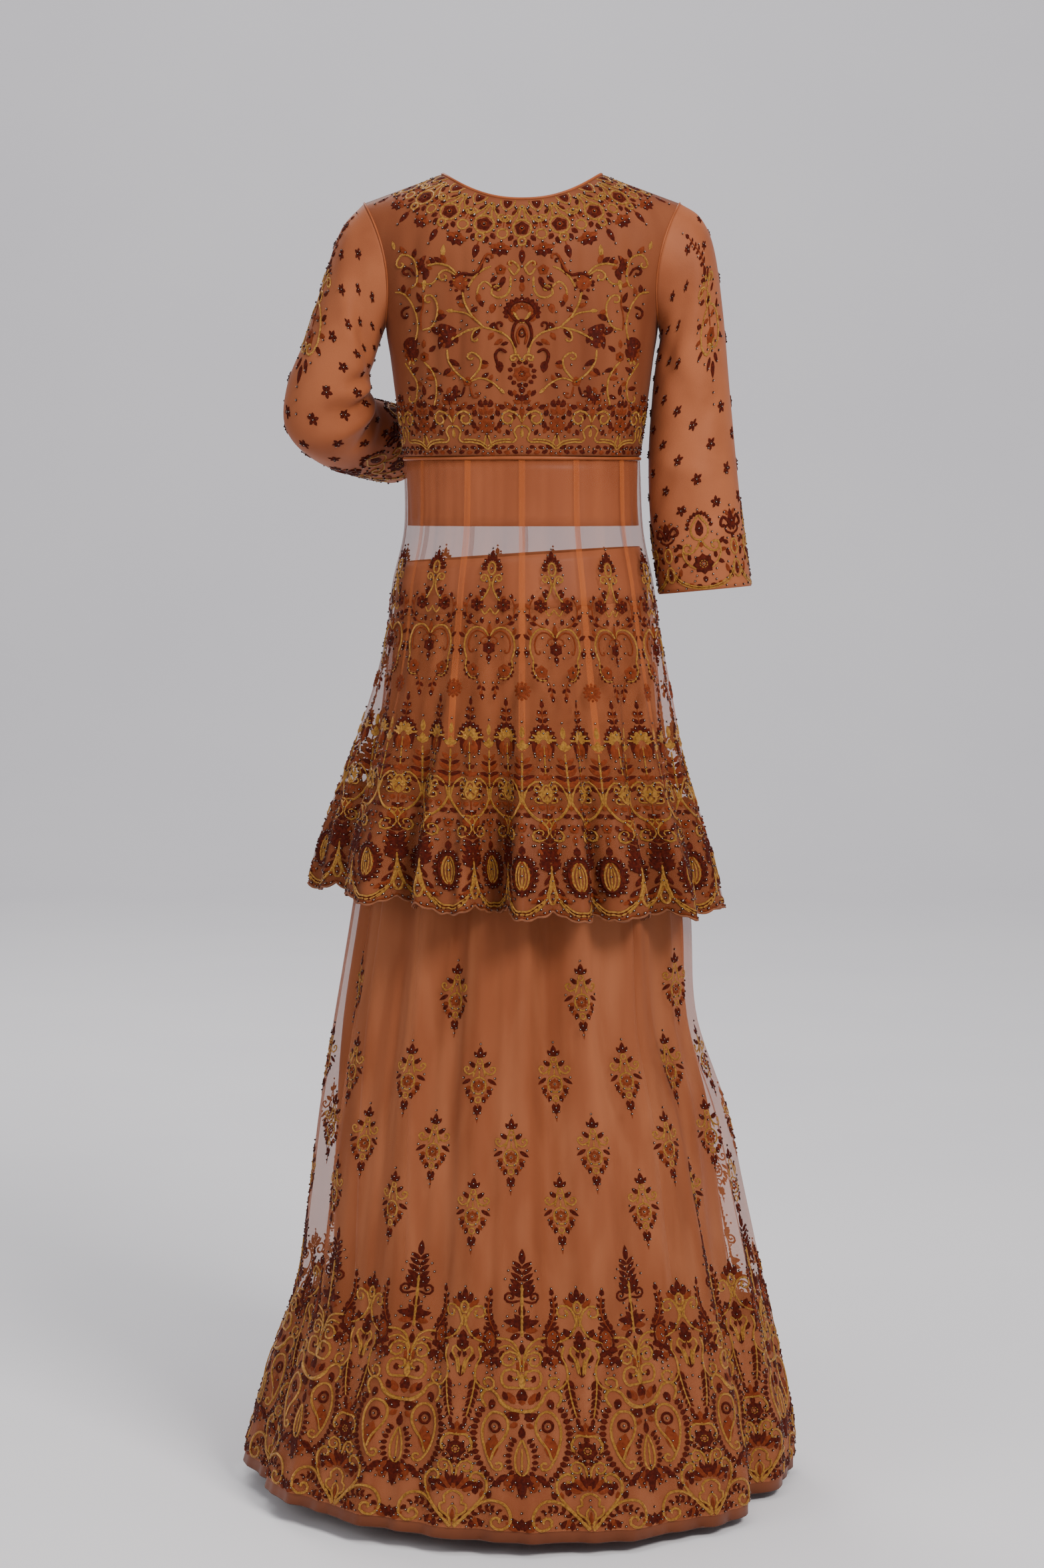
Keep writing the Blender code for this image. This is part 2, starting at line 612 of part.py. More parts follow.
def add_neck_binding():
    """The satin binding round the neck, just off the bodice's edge."""
    edge, outward = neck_loop()
    path, beside = [], []
    for index, (place, out) in enumerate(zip(edge, outward)):
        along = edge[(index + 1) % len(edge)] - edge[index - 1]
        off = along.cross(out).normalized()
        if off.dot(Vector((-place.x, 0.0, NECK_HALF))) < 0.0:
            off = -off
        path.append(place - out * WALL / 2 + off * (BINDING_RADIUS + 2 * SEAM_GAP))
        beside.append(off)
    add_cord("neck_binding", path, beside, BINDING_RADIUS, "binding")


def add_sleeves():
    """The two sleeves; the wearer's left one is bent forward, and its solids part at the elbow."""
    columns = [360.0 * column / SLEEVE_COLUMNS for column in range(SLEEVE_COLUMNS)]
    bent = sleeve_surface(BENT_SLEEVE, BENT_CREASES, 1.0)
    straight = sleeve_surface(STRAIGHT_SLEEVE, STRAIGHT_CREASES, -1.0)
    for name, surface, side, shares in (
            ("sleeve_left_upper", bent, 1.0, spread(0.0, ELBOW, UPPER_ROWS)),
            ("sleeve_left_lower", bent, 1.0, spread(ELBOW + ELBOW_GAP, 1.0, LOWER_ROWS)),
            ("sleeve_right", straight, -1.0, spread(0.0, 1.0, STRAIGHT_ROWS))):
        places = [[(angle, share) for angle in columns] for share in shares]
        add_cloth(name, surface, places, "embroidered_net", DEGREE_STEPS, ROUND_LIMITS, ring=True,
                  turned=side, seam_axes=lambda angle, share: () if share else (0,))


def add_waist_piping():
    """The satin piping that stands proud in the waist seam."""
    z = WAIST_SEAM_Z - SEAM_GAP - PIPING_RADIUS
    angles = [360.0 * column / RING_COLUMNS for column in range(RING_COLUMNS)]
    path = [girth_point(PEPLUM, angle, z, WALL / 2 - PIPING_RADIUS / 2) for angle in angles]
    path = [Vector((place.x, place.y, z)) for place in path]
    out = [Vector((place.x, place.y, 0.0)).normalized() for place in path]
    add_cord("waist_piping", path, out, PIPING_RADIUS, "binding")


def add_peplum():
    """Twelve net gores, the satin facing of their hem, and the band at the midriff."""
    add_hanging("midriff_lining", midriff_surface, (0.0, 1.0), "satin", RING_COLUMNS)
    turn = 360.0 / GORES
    for gore in range(GORES):
        add_hanging(f"peplum_gore_{gore + 1:02d}", peplum_surface, PEPLUM_ROWS, "net", GORE_COLUMNS,
                    span=(gore * turn, (gore + 1) * turn))
    add_hanging("peplum_hem_facing", peplum_surface, PEPLUM_ROWS[-FACED_ROWS:], "satin",
                GORES * GORE_COLUMNS, lift=-WALL - SEAM_GAP)


def add_skirt():
    """Waistband, lining, three panels of net and the satin facing that ends in the hem strip."""
    add_hanging("skirt_waistband", waistband_surface, BAND_ROWS, "satin", RING_COLUMNS)
    for name, span in (("skirt_lining_back", (-90.0, 90.0)), ("skirt_lining_front", (90.0, 270.0))):
        add_hanging(name, lining_surface, spread(0.0, 1.0, LINING_STEPS), "satin", LINING_COLUMNS,
                    span=span)
    for name, first, last in zip(("back", "right", "left"), NET_SEAMS, NET_SEAMS[1:]):
        add_hanging(f"skirt_net_{name}", skirt_surface, NET_ROWS, "net", NET_PANEL_COLUMNS,
                    span=(first, last))
    strip_end = 1.0 + HEM_STRIP / (YOKE_SEAM_Z - SKIRT_HEM_Z - HEM_STRIP)
    add_hanging("skirt_hem_facing", skirt_surface, (*NET_ROWS[-FACED_ROWS:], strip_end), "satin",
                3 * NET_PANEL_COLUMNS, lift=-WALL - SEAM_GAP, start=NET_SEAMS[0])


def build():
    """The whole suit."""
    clear_scene()
    add_bodice()
    add_neck_binding()
    add_sleeves()
    add_waist_piping()
    add_peplum()
    add_skirt()


build()
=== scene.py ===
"""The looks of the sharara suit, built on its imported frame.

Metres, +Z up, the wearer faces -Y. An angle round the body is in degrees from the middle of the
back towards the wearer's right, which is at -X. Embroidery is drawn flat, in millimetres.
"""
import json
import math
from collections import namedtuple

import bpy
import numpy as np
from mathutils import Vector
from mathutils.bvhtree import BVHTree
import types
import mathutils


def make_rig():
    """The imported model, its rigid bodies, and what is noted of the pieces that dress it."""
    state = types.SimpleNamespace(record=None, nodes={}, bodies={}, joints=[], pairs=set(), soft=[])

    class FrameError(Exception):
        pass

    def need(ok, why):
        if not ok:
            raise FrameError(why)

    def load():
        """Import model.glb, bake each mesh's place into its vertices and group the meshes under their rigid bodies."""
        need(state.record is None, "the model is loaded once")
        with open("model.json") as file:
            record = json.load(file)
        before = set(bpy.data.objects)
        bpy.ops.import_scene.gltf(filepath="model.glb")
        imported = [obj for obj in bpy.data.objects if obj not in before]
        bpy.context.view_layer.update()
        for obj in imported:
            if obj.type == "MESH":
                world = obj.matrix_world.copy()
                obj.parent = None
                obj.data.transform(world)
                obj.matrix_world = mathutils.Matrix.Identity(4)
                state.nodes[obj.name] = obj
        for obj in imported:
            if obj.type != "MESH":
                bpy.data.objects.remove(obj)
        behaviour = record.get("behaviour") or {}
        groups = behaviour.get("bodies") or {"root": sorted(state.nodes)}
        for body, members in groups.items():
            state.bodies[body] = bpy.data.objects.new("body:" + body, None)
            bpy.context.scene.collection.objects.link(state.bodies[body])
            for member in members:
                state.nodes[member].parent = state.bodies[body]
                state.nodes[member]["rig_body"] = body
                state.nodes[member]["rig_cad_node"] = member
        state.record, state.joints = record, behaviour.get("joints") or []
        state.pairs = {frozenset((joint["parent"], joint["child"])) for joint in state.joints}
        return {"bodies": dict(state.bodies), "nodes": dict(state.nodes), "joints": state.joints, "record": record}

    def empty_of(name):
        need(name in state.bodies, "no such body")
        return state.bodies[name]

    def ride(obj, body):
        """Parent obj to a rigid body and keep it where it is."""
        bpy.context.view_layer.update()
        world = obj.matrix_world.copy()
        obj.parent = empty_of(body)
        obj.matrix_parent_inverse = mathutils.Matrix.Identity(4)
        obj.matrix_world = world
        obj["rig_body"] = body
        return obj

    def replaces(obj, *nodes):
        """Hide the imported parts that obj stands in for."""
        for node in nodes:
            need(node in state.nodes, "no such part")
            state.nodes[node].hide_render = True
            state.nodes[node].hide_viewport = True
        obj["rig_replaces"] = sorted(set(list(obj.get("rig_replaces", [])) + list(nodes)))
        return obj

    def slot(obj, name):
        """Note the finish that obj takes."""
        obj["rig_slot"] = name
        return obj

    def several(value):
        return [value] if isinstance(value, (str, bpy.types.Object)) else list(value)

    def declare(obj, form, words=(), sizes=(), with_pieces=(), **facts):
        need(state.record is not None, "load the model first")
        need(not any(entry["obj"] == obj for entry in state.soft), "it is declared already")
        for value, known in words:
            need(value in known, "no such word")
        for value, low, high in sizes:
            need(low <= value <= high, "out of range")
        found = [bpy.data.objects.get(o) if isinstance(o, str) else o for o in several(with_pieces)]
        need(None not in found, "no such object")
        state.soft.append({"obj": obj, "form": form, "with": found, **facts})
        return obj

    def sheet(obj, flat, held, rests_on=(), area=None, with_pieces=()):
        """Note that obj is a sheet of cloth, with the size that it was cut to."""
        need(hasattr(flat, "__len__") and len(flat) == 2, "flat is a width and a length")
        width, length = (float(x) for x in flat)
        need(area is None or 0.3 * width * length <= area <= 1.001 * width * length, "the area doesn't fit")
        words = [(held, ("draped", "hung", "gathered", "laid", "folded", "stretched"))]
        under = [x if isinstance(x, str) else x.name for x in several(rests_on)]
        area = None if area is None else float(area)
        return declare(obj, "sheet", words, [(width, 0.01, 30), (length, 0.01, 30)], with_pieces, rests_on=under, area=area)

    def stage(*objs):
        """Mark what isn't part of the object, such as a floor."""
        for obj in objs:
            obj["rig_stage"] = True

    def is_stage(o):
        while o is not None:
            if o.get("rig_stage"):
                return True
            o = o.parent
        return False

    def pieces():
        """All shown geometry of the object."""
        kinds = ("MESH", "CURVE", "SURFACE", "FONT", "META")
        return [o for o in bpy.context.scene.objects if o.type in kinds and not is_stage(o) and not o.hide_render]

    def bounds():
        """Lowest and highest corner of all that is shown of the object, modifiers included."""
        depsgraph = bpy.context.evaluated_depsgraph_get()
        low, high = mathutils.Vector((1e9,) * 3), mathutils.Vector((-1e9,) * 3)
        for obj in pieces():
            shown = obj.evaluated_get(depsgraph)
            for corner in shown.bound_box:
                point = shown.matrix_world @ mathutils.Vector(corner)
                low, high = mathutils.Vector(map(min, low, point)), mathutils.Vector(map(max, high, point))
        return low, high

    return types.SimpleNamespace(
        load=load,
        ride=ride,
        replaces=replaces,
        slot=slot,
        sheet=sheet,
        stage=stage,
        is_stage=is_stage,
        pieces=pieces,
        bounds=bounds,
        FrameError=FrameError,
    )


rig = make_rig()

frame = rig.load()
CAD_BOUNDS = [list(corner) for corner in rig.bounds()]

# Sizes that repeat those of the part
WALL = 0.0012
SEAM_GAP = 0.0003
WAIST_SEAM_Z = -0.3250
PIPING_RADIUS = 0.0022
MIDRIFF_END_Z = -0.4050
PEPLUM_TOP_Z = WAIST_SEAM_Z - 2 * SEAM_GAP - 2 * PIPING_RADIUS
PEPLUM_HEM_Z = -0.8400
PEPLUM_HEM_TILT = 0.0130
SKIRT_TOP_Z = -0.4380
YOKE_SEAM_Z = -0.4990
SKIRT_TOP_TILT = 0.0090
SKIRT_HEM_Z = -1.5190
SKIRT_HEM_TILT = 0.0080
HEM_STRIP = 0.0120
LINING_SHORT = 0.0500
SHOULDER_HALF = 0.1820
SHOULDER_DROP = 0.0330
NECK_HALF = 0.0920
NECK_DEPTH = {"back": 0.0340, "front": 0.0800}
NECK_ROUND = 2.2
SHOULDER_ROUND = 0.1000
BODY_ROUND = 2.4
BINDING_RADIUS = 0.0018
UNDERARM_X = 0.1580
UNDERARM_Z = -0.1750
ARMHOLE_DIP = 0.0140
ARMHOLE_DEPTH = {"back": 0.0560, "front": 0.0500}
SCALLOPS = 24
SCALLOP_DEPTH = 0.0100
GATHERS = 26
GATHER_DEPTH = 0.0022
GATHER_END = 0.45
ARMHOLE_FADE = 0.20
GORES = 12

# Sizes that only the scene has
SMALL_SCALLOPS = 96
SMALL_SCALLOP_DEPTH = 0.0026
SCALLOP_RISE = 4
SMALL_SCALLOP_RISE = 40
RIPPLE_START = 4.0
BODICE_REACH = 0.235
NECK_COLUMNS = 0.6
COLLAR_STEP = 0.003
COLLAR_MIDDLE = (0.0, 0.01, 0.0)
CHEST_MIDDLE = (0.0, 0.0, -0.15)
SHELL = 0.0008
FACING_LIFT = WALL + SEAM_GAP
BAND_EASE = 0.0024
PEPLUM_FACED = 0.76
SKIRT_FACED = 0.82
SLEEVE_LENGTH = {"left": 0.42, "right": 0.44}
RING_STEP = 0.02
CREASE_FIRST = 0.07
CREASE_SPAN = 0.86
BODICE_DESIGN_TOP = {"back": -0.0400, "front": -0.0860}
WAIST_DESIGN_TOP = -0.2350

# Columns and rows of each cloth and ground, steps of lines, passes of smoothing, least sizes
BODICE_GRID = (121, 61)
BODICE_DESIGN_GRID = (95, 60)
WAIST_DESIGN_GRID = (240, 20)
COLLAR_GRID = (33, 240)
SLEEVE_GRID = (96, 73)
BAND_GRID = (192, 7)
PEPLUM_GRID = (480, 53)
PEPLUM_FACING_GRID = (480, 14)
WAISTBAND_GRID = (192, 7)
LINING_GRID = (240, 37)
SKIRT_GRID = (480, 73)
SKIRT_FACING_GRID = (480, 15)
CREASE_STEPS = 60
LEVEL_COLUMNS = 241
FINE_STEPS = 1441
CORD_STEPS = 192
CORD_SIDES = 10
THIN_CORD_SIDES = 6
EDGE_PASSES = 6
GROUND_PASSES = 3
TINY = 1e-6
LEAST = 1e-12

# Repeats and places of the embroidery, and the seams and edges
BORDER_REPEATS = 13
BORDER_LENGTHS = (("back", -2, 5), ("right", 3, 4), ("left", 7, 4))
BORDER_SIZE = (1.12, 1.0)
CANDELABRA_SHARE = 0.53
ZINNIA_SHARE = 0.51
EDGE_STEPS = 600
ARCHES = 10
LYRE_TOP = 262.0
LYRE_SIZE = (1.1, 0.95)
WHEELS = 21
COLLAR_SIZE = (1.0, 1.15)
STAR_ROWS = 11
STAR_COLUMNS = 8
STAR_FIRST = 0.10
STAR_LAST = 0.78
STAR_START = 20.0
STAR_TURN = {"row": 61.0, "column": 37.0}
SCROLL_ANGLE = {"left": 18.0, "right": 55.0}
SCROLL_CLEAR = 42.0
SCROLL_SHARES = (0.22, 0.52)
CUFF_CELLS = 8
CUFF_START = {"left": 20.0, "right": 45.0}
SEAM_WIDTH = 0.0068
SEAM_END = 0.64
SEAM_STEPS = 44
SEAM_LIFT = 0.0003
HEM_EDGE_RADIUS = 0.0010
ARMHOLE_SEAM_RADIUS = 0.0012

# Stitches, in millimetres: threads, lines, leaves, beads, flowers and filled patches
GOLD, MAROON, RUST, BEAD, TAN = range(5)
STITCH_STEP = 4.0
STITCH_LIFT = 0.0003
LINE_KEEP = 0.84
LINE_TIP = 0.6
CURL_LAST = 0.28
CURL_STEP = 42.0
LOOP_POINTS = 0.9
LOOP_LEAST = 8
CORD_ACROSS = np.array([0.5, 0.22, -0.22, -0.5])
CORD_UP = np.array([0.0, 0.42, 0.42, 0.0])
LONG_LEAF = 11.0
LEAF_LONG = ((0.16, 0.94), (0.46, 1.24), (0.78, 0.80))
LEAF_SHORT = ((0.28, 1.14), (0.68, 1.02))
LEAF_UP = 0.26
LEAF_HIGH = 1.1
BEAD_RADIUS = 1.35
BEAD_SIDES = 5
BEAD_WAIST = (0.8, 0.9)
BEAD_TOP = 1.5
# Height marks of the foot, waist and tip of a bead: the bead material paints a pale highlight near the tip
BEAD_PAINTED_GLINT = (0.0, 0.3, 1.0)
FROND_STEP = 1.5
FROND_FIRST = 0.3
FROND_TAPER = 0.35
PETAL_FOOT = 0.08
PETAL_LENGTH = 0.42
PETAL_WIDTHS = 2.3
HEART_THREAD = 1.8
HEART_ACROSS = 0.34
PAD_STEP = 5.0
PAD_INNER = 0.62
PAD_HEIGHT = 0.9

# Camera, floor, backdrop and what surrounds them
CAMERA_PLACE = (0.0, 3.9, -0.37088)
CAMERA_DIP = 4.938
CAMERA_LENS = 76.47
CAMERA_SENSOR = 36.0
FLOOR_Z = -1.537
FLOOR_NEAR = 4.6
FLOOR_FAR = -5.7
FLOOR_HALF = 6.0
BACKDROP_BEND = 1.5
BACKDROP_TURNS = (6, 90, 15)
BACKDROP_TOP = 4.6
SURROUND = (214, 214, 220)
SURROUND_STRENGTH = 0.56
Lamp = namedtuple("Lamp", "name place target size power colour")
LAMPS = [
    Lamp("key", (-2.0, 3.1, 2.0), (0.0, 0.0, -0.7), 1.3, 168.0, (1.0, 0.97, 0.94)),
    Lamp("fill", (2.8, 2.4, 0.6), (0.0, 0.0, -0.7), 1.8, 26.0, (1.0, 0.98, 0.96)),
    Lamp("top", (0.0, 0.9, 2.6), (0.0, 0.0, -0.6), 1.6, 34.0, (1.0, 1.0, 1.0)),
    Lamp("front", (1.6, -3.4, 2.6), (0.0, 0.0, -0.8), 2.0, 70.0, (1.0, 0.99, 0.97)),
    Lamp("backdrop", (0.0, -3.8, 3.4), (0.0, -6.8, -1.0), 3.0, 66.0, (1.0, 0.99, 1.0)),
]

# Materials: a colour, a second one in soft or drawn-out patches between two levels, and the shine; for the bead the
# second colour is a painted highlight near its tip
EVEN = (1.0, 1.0, 1.0)
DRAWN = (1.0, 1.0, 0.3)
WOVEN = (1.0, 1.0, 0.25)
STREAKED = (1.0, 1.0, 0.06)
MOTTLE_DETAIL = 3.0
SHEEN_ROUGHNESS = 0.4
Look = namedtuple("Look", "name colour second low high scale stretch roughness specular "
                          "sheen alpha metallic", defaults=(0.0, 1.0, 0.0))
LOOKS = [
    Look("satin", (154, 94, 63), (134, 76, 47), 0.35, 0.75, 9.0, DRAWN, 0.42, 0.16, 0.05),
    Look("band_satin", (160, 91, 60), (142, 78, 50), 0.35, 0.75, 14.0, EVEN, 0.42, 0.18, 0.05),
    Look("mounted_net", (130, 72, 44), (112, 58, 34), 0.40, 0.68, 16.0, DRAWN, 0.60, 0.10, 0.05),
    Look("sleeve_net", (160, 92, 58), (140, 77, 47), 0.40, 0.68, 12.0, EVEN, 0.55, 0.12, 0.05),
    Look("facing_satin", (120, 66, 41), (104, 55, 34), 0.35, 0.75, 12.0, EVEN, 0.48, 0.14, 0.05),
    Look("net", (148, 80, 48), (174, 98, 60), 0.42, 0.66, 30.0, STREAKED, 0.75, 0.05, 0.05, 0.36),
    Look("skirt_tulle", (164, 92, 58), (188, 114, 76), 0.42, 0.66, 30.0, STREAKED, 0.75, 0.05, 0.05, 0.46),
    Look("net_seam", (190, 100, 54), (210, 114, 56), 0.42, 0.72, 40.0, STREAKED, 0.70, 0.05, 0.05, 0.36),
    Look("binding", (154, 82, 44), (132, 68, 35), 0.40, 0.75, 30.0, EVEN, 0.45, 0.2),
    Look("hem_edge", (88, 56, 44), (70, 42, 34), 0.40, 0.75, 30.0, EVEN, 0.50, 0.2),
    Look("gold", (212, 152, 66), (150, 96, 32), 0.40, 0.72, 420.0, EVEN, 0.36, 0.4, metallic=0.3),
    Look("maroon", (66, 18, 9), (96, 30, 14), 0.40, 0.72, 300.0, EVEN, 0.55, 0.08),
    Look("rust", (128, 56, 28), (104, 42, 20), 0.40, 0.72, 300.0, EVEN, 0.55, 0.08),
    # Dark glass, with a pale painted highlight near the tip of each bead
    Look("bead", (52, 18, 10), (244, 226, 210), 0.62, 0.86, None, None, 0.14, 0.3, metallic=0.35),
    Look("tan", (150, 86, 48), (124, 68, 35), 0.40, 0.72, 200.0, EVEN, 0.55, 0.5),
]
BACKDROP_LOOK = Look("backdrop", (242, 240, 242), (239, 237, 240), 0.3, 0.7, 2.0, EVEN, 0.9, 0.1)

# Relief of each cloth, as a texture, and of each thread, as bands across its stitches
Relief = namedtuple("Relief", "kind scale detail stretch strength depth")
RELIEFS = {
    "satin": Relief("Noise", 1400.0, 1.0, WOVEN, 0.16, 0.0003),
    "band_satin": Relief("Noise", 1400.0, 1.0, WOVEN, 0.14, 0.0003),
    "mounted_net": Relief("Voronoi", 900.0, 0.0, EVEN, 0.30, 0.0004),
    "sleeve_net": Relief("Voronoi", 900.0, 0.0, EVEN, 0.25, 0.0004),
    "facing_satin": Relief("Noise", 1200.0, 1.0, EVEN, 0.18, 0.0003),
    "binding": Relief("Noise", 900.0, 1.0, EVEN, 0.15, 0.0003),
}
Bands = namedtuple("Bands", "scale strength direction")
BANDS = {
    "gold": Bands(3.0, 0.8, "DIAGONAL"),
    "maroon": Bands(7.0, 0.5, "X"),
    "rust": Bands(7.0, 0.5, "X"),
    "tan": Bands(6.0, 0.6, "X"),
}
BAND_DISTORTION = 1.2
BAND_DEPTH = 0.0004

# Bodice sections: half the width, and the depth of the back and of the front at the middle
Bust = namedtuple("Bust", "z half back front")
BODICE = [
    Bust(-0.325, 0.1370, 0.0980, 0.1060),
    Bust(-0.260, 0.1465, 0.1050, 0.1230),
    Bust(-0.210, 0.1530, 0.1085, 0.1350),
    Bust(-0.175, 0.1580, 0.1085, 0.1380),
    Bust(-0.110, 0.1580, 0.1040, 0.1270),
    Bust(-0.050, 0.1580, 0.0960, 0.1060),
    Bust(0.000, 0.1580, 0.0880, 0.0880),
]

# Sections of what hangs round the body: how far it reaches to each side
Girth = namedtuple("Girth", "z left right back front")
PEPLUM = [
    Girth(-0.330, 0.1370, 0.1370, 0.0980, 0.1060),
    Girth(-0.410, 0.1370, 0.1410, 0.1020, 0.1080),
    Girth(-0.470, 0.1500, 0.1525, 0.1150, 0.1150),
    Girth(-0.530, 0.1570, 0.1610, 0.1300, 0.1270),
    Girth(-0.600, 0.1730, 0.1740, 0.1500, 0.1450),
    Girth(-0.690, 0.2030, 0.1920, 0.1790, 0.1720),
    Girth(-0.785, 0.2340, 0.2220, 0.2080, 0.2010),
    Girth(-0.860, 0.2450, 0.2400, 0.2260, 0.2190),
]
WAISTBAND = [
    Girth(-0.430, 0.1335, 0.1375, 0.1000, 0.0980),
    Girth(-0.465, 0.1450, 0.1450, 0.1080, 0.1030),
    Girth(-0.510, 0.1500, 0.1500, 0.1180, 0.1130),
]
SKIRT = [
    Girth(-0.490, 0.1490, 0.1500, 0.1155, 0.1105),
    Girth(-0.640, 0.1660, 0.1660, 0.1400, 0.1320),
    Girth(-0.850, 0.1980, 0.1960, 0.1650, 0.1610),
    Girth(-0.980, 0.2200, 0.2040, 0.1880, 0.1840),
    Girth(-1.090, 0.2380, 0.2400, 0.2140, 0.2080),
    Girth(-1.200, 0.2520, 0.2640, 0.2400, 0.2340),
    Girth(-1.300, 0.2660, 0.2860, 0.2660, 0.2600),
    Girth(-1.400, 0.3010, 0.3090, 0.2960, 0.2890),
    Girth(-1.470, 0.3210, 0.3230, 0.3140, 0.3060),
    Girth(-1.530, 0.3380, 0.3240, 0.3270, 0.3190),
]
Ease = namedtuple("Ease", "z inside")
LINING_EASE = [
    Ease(-0.490, 0.0026),
    Ease(-0.640, 0.0070),
    Ease(-0.850, 0.0095),
    Ease(-0.980, 0.0120),
    Ease(-1.090, 0.0220),
    Ease(-1.200, 0.0330),
    Ease(-1.300, 0.0420),
    Ease(-1.530, 0.0600),
]

# Folds: the angle of each valley at top and hem, half its width, and its depth down the length
Fold = namedtuple("Fold", "top_angle hem_angle half_width top middle hem")
PEPLUM_FOLDS = [
    Fold(-6, -9, 13, 0.000, 0.008, 0.046),
    Fold(22, 24, 12, 0.000, 0.004, 0.020),
    Fold(44, 44, 12, 0.000, 0.007, 0.038),
    Fold(66, 68, 12, 0.000, 0.003, 0.022),
    Fold(104, 105, 13, 0.000, 0.004, 0.030),
    Fold(128, 129, 12, 0.000, 0.006, 0.036),
    Fold(152, 153, 12, 0.000, 0.003, 0.022),
    Fold(177, 177, 14, 0.000, 0.005, 0.034),
    Fold(-36, -37, 13, 0.000, 0.005, 0.024),
    Fold(-64, -68, 13, 0.000, 0.003, 0.022),
    Fold(-106, -106, 13, 0.000, 0.005, 0.032),
    Fold(-130, -129, 12, 0.000, 0.004, 0.024),
    Fold(-155, -154, 13, 0.000, 0.006, 0.036),
]
SKIRT_FOLDS = [
    Fold(-25, -24, 13, 0.001, 0.017, 0.009),
    Fold(11, 9, 12, 0.001, 0.015, 0.007),
    Fold(50, 64, 13, 0.001, 0.017, 0.036),
    Fold(30, 33, 11, 0.001, 0.008, 0.009),
    Fold(-7, -8, 10, 0.000, 0.005, 0.008),
    Fold(-46, -44, 11, 0.001, 0.009, 0.008),
    Fold(-70, -72, 12, 0.001, 0.012, 0.014),
    Fold(76, 80, 10, 0.001, 0.007, 0.010),
    Fold(107, 108, 13, 0.001, 0.015, 0.014),
    Fold(135, 138, 12, 0.001, 0.012, 0.022),
    Fold(160, 162, 13, 0.001, 0.016, 0.010),
    Fold(-172, -170, 12, 0.001, 0.009, 0.018),
    Fold(-150, -149, 12, 0.001, 0.015, 0.010),
    Fold(-126, -127, 12, 0.001, 0.009, 0.020),
    Fold(-104, -106, 12, 0.001, 0.013, 0.012),
]
LINING_FOLDS = [
    Fold(-25, -24, 12, 0.000, 0.022, 0.016),
    Fold(11, 9, 11, 0.000, 0.021, 0.014),
    Fold(50, 56, 13, 0.000, 0.016, 0.012),
    Fold(-46, -44, 10, 0.000, 0.012, 0.012),
    Fold(-70, -72, 14, 0.000, 0.012, 0.014),
    Fold(107, 108, 16, 0.000, 0.010, 0.012),
    Fold(160, 162, 16, 0.000, 0.010, 0.012),
    Fold(-150, -149, 16, 0.000, 0.010, 0.012),
    Fold(-104, -106, 16, 0.000, 0.008, 0.010),
]

# Narrow folds at the hem of the peplum that only the cloth itself has, ridges if negative
PEPLUM_CREASES = [
    Fold(-6, -8, 6, 0.000, 0.001, 0.012),
    Fold(-14, -15, 5, 0.000, -0.005, -0.026),
    Fold(1, -1, 5, 0.000, -0.005, -0.025),
    Fold(10, 11, 5, 0.000, 0.001, 0.010),
    Fold(17, 18, 4, 0.000, -0.001, -0.010),
    Fold(22, 24, 4, 0.000, 0.002, 0.018),
    Fold(36, 37, 5, 0.000, -0.003, -0.018),
    Fold(44, 44, 4, 0.000, 0.001, 0.003),
    Fold(52, 52, 5, 0.000, -0.002, -0.016),
    Fold(67, 69, 5, 0.000, 0.001, 0.010),
    Fold(84, 85, 6, 0.000, 0.001, 0.009),
    Fold(104, 105, 6, 0.000, 0.001, 0.011),
    Fold(117, 117, 6, 0.000, -0.001, -0.009),
    Fold(129, 130, 6, 0.000, 0.001, 0.011),
    Fold(153, 154, 5, 0.000, 0.001, 0.009),
    Fold(178, 177, 6, 0.000, 0.001, 0.012),
    Fold(-29, -29, 5, 0.000, -0.002, -0.014),
    Fold(-37, -37, 4, 0.000, 0.001, 0.014),
    Fold(-46, -46, 5, 0.000, -0.002, -0.014),
    Fold(-66, -68, 5, 0.000, 0.001, 0.010),
    Fold(-86, -87, 6, 0.000, -0.001, -0.008),
    Fold(-106, -106, 6, 0.000, 0.001, 0.011),
    Fold(-129, -130, 5, 0.000, 0.001, 0.009),
    Fold(-142, -142, 6, 0.000, -0.001, -0.009),
    Fold(-155, -155, 6, 0.000, 0.001, 0.012),
]

# Small soft folds that only the cloth itself has, and how far they wander down and round it
Ripple = namedtuple("Ripple", "waves phase top hem")
Wander = namedtuple("Wander", "far waves")
WANDER_DOWN = Wander(14, 3.1)
WANDER_ROUND = Wander(9, 5)
WANDER_PULL = 2
PHASE_TURN = 7
NET_RIPPLES = [
    Ripple(37, 20, 0.0008, 0.0017),
    Ripple(53, 75, 0.0006, 0.0011),
    Ripple(91, 10, 0.0004, 0.0004),
]
LINING_RIPPLES = [
    Ripple(17, 40, 0.0010, 0.0030),
    Ripple(29, 80, 0.0006, 0.0016),
]
PEPLUM_RIPPLES = [
    Ripple(31, 15, 0.0003, 0.0024),
    Ripple(67, 50, 0.0004, 0.0009),
]
BAND_RIPPLES = [
    Ripple(23, 30, 0.0006, 0.0012),
    Ripple(9, 60, 0.0008, 0.0012),
]

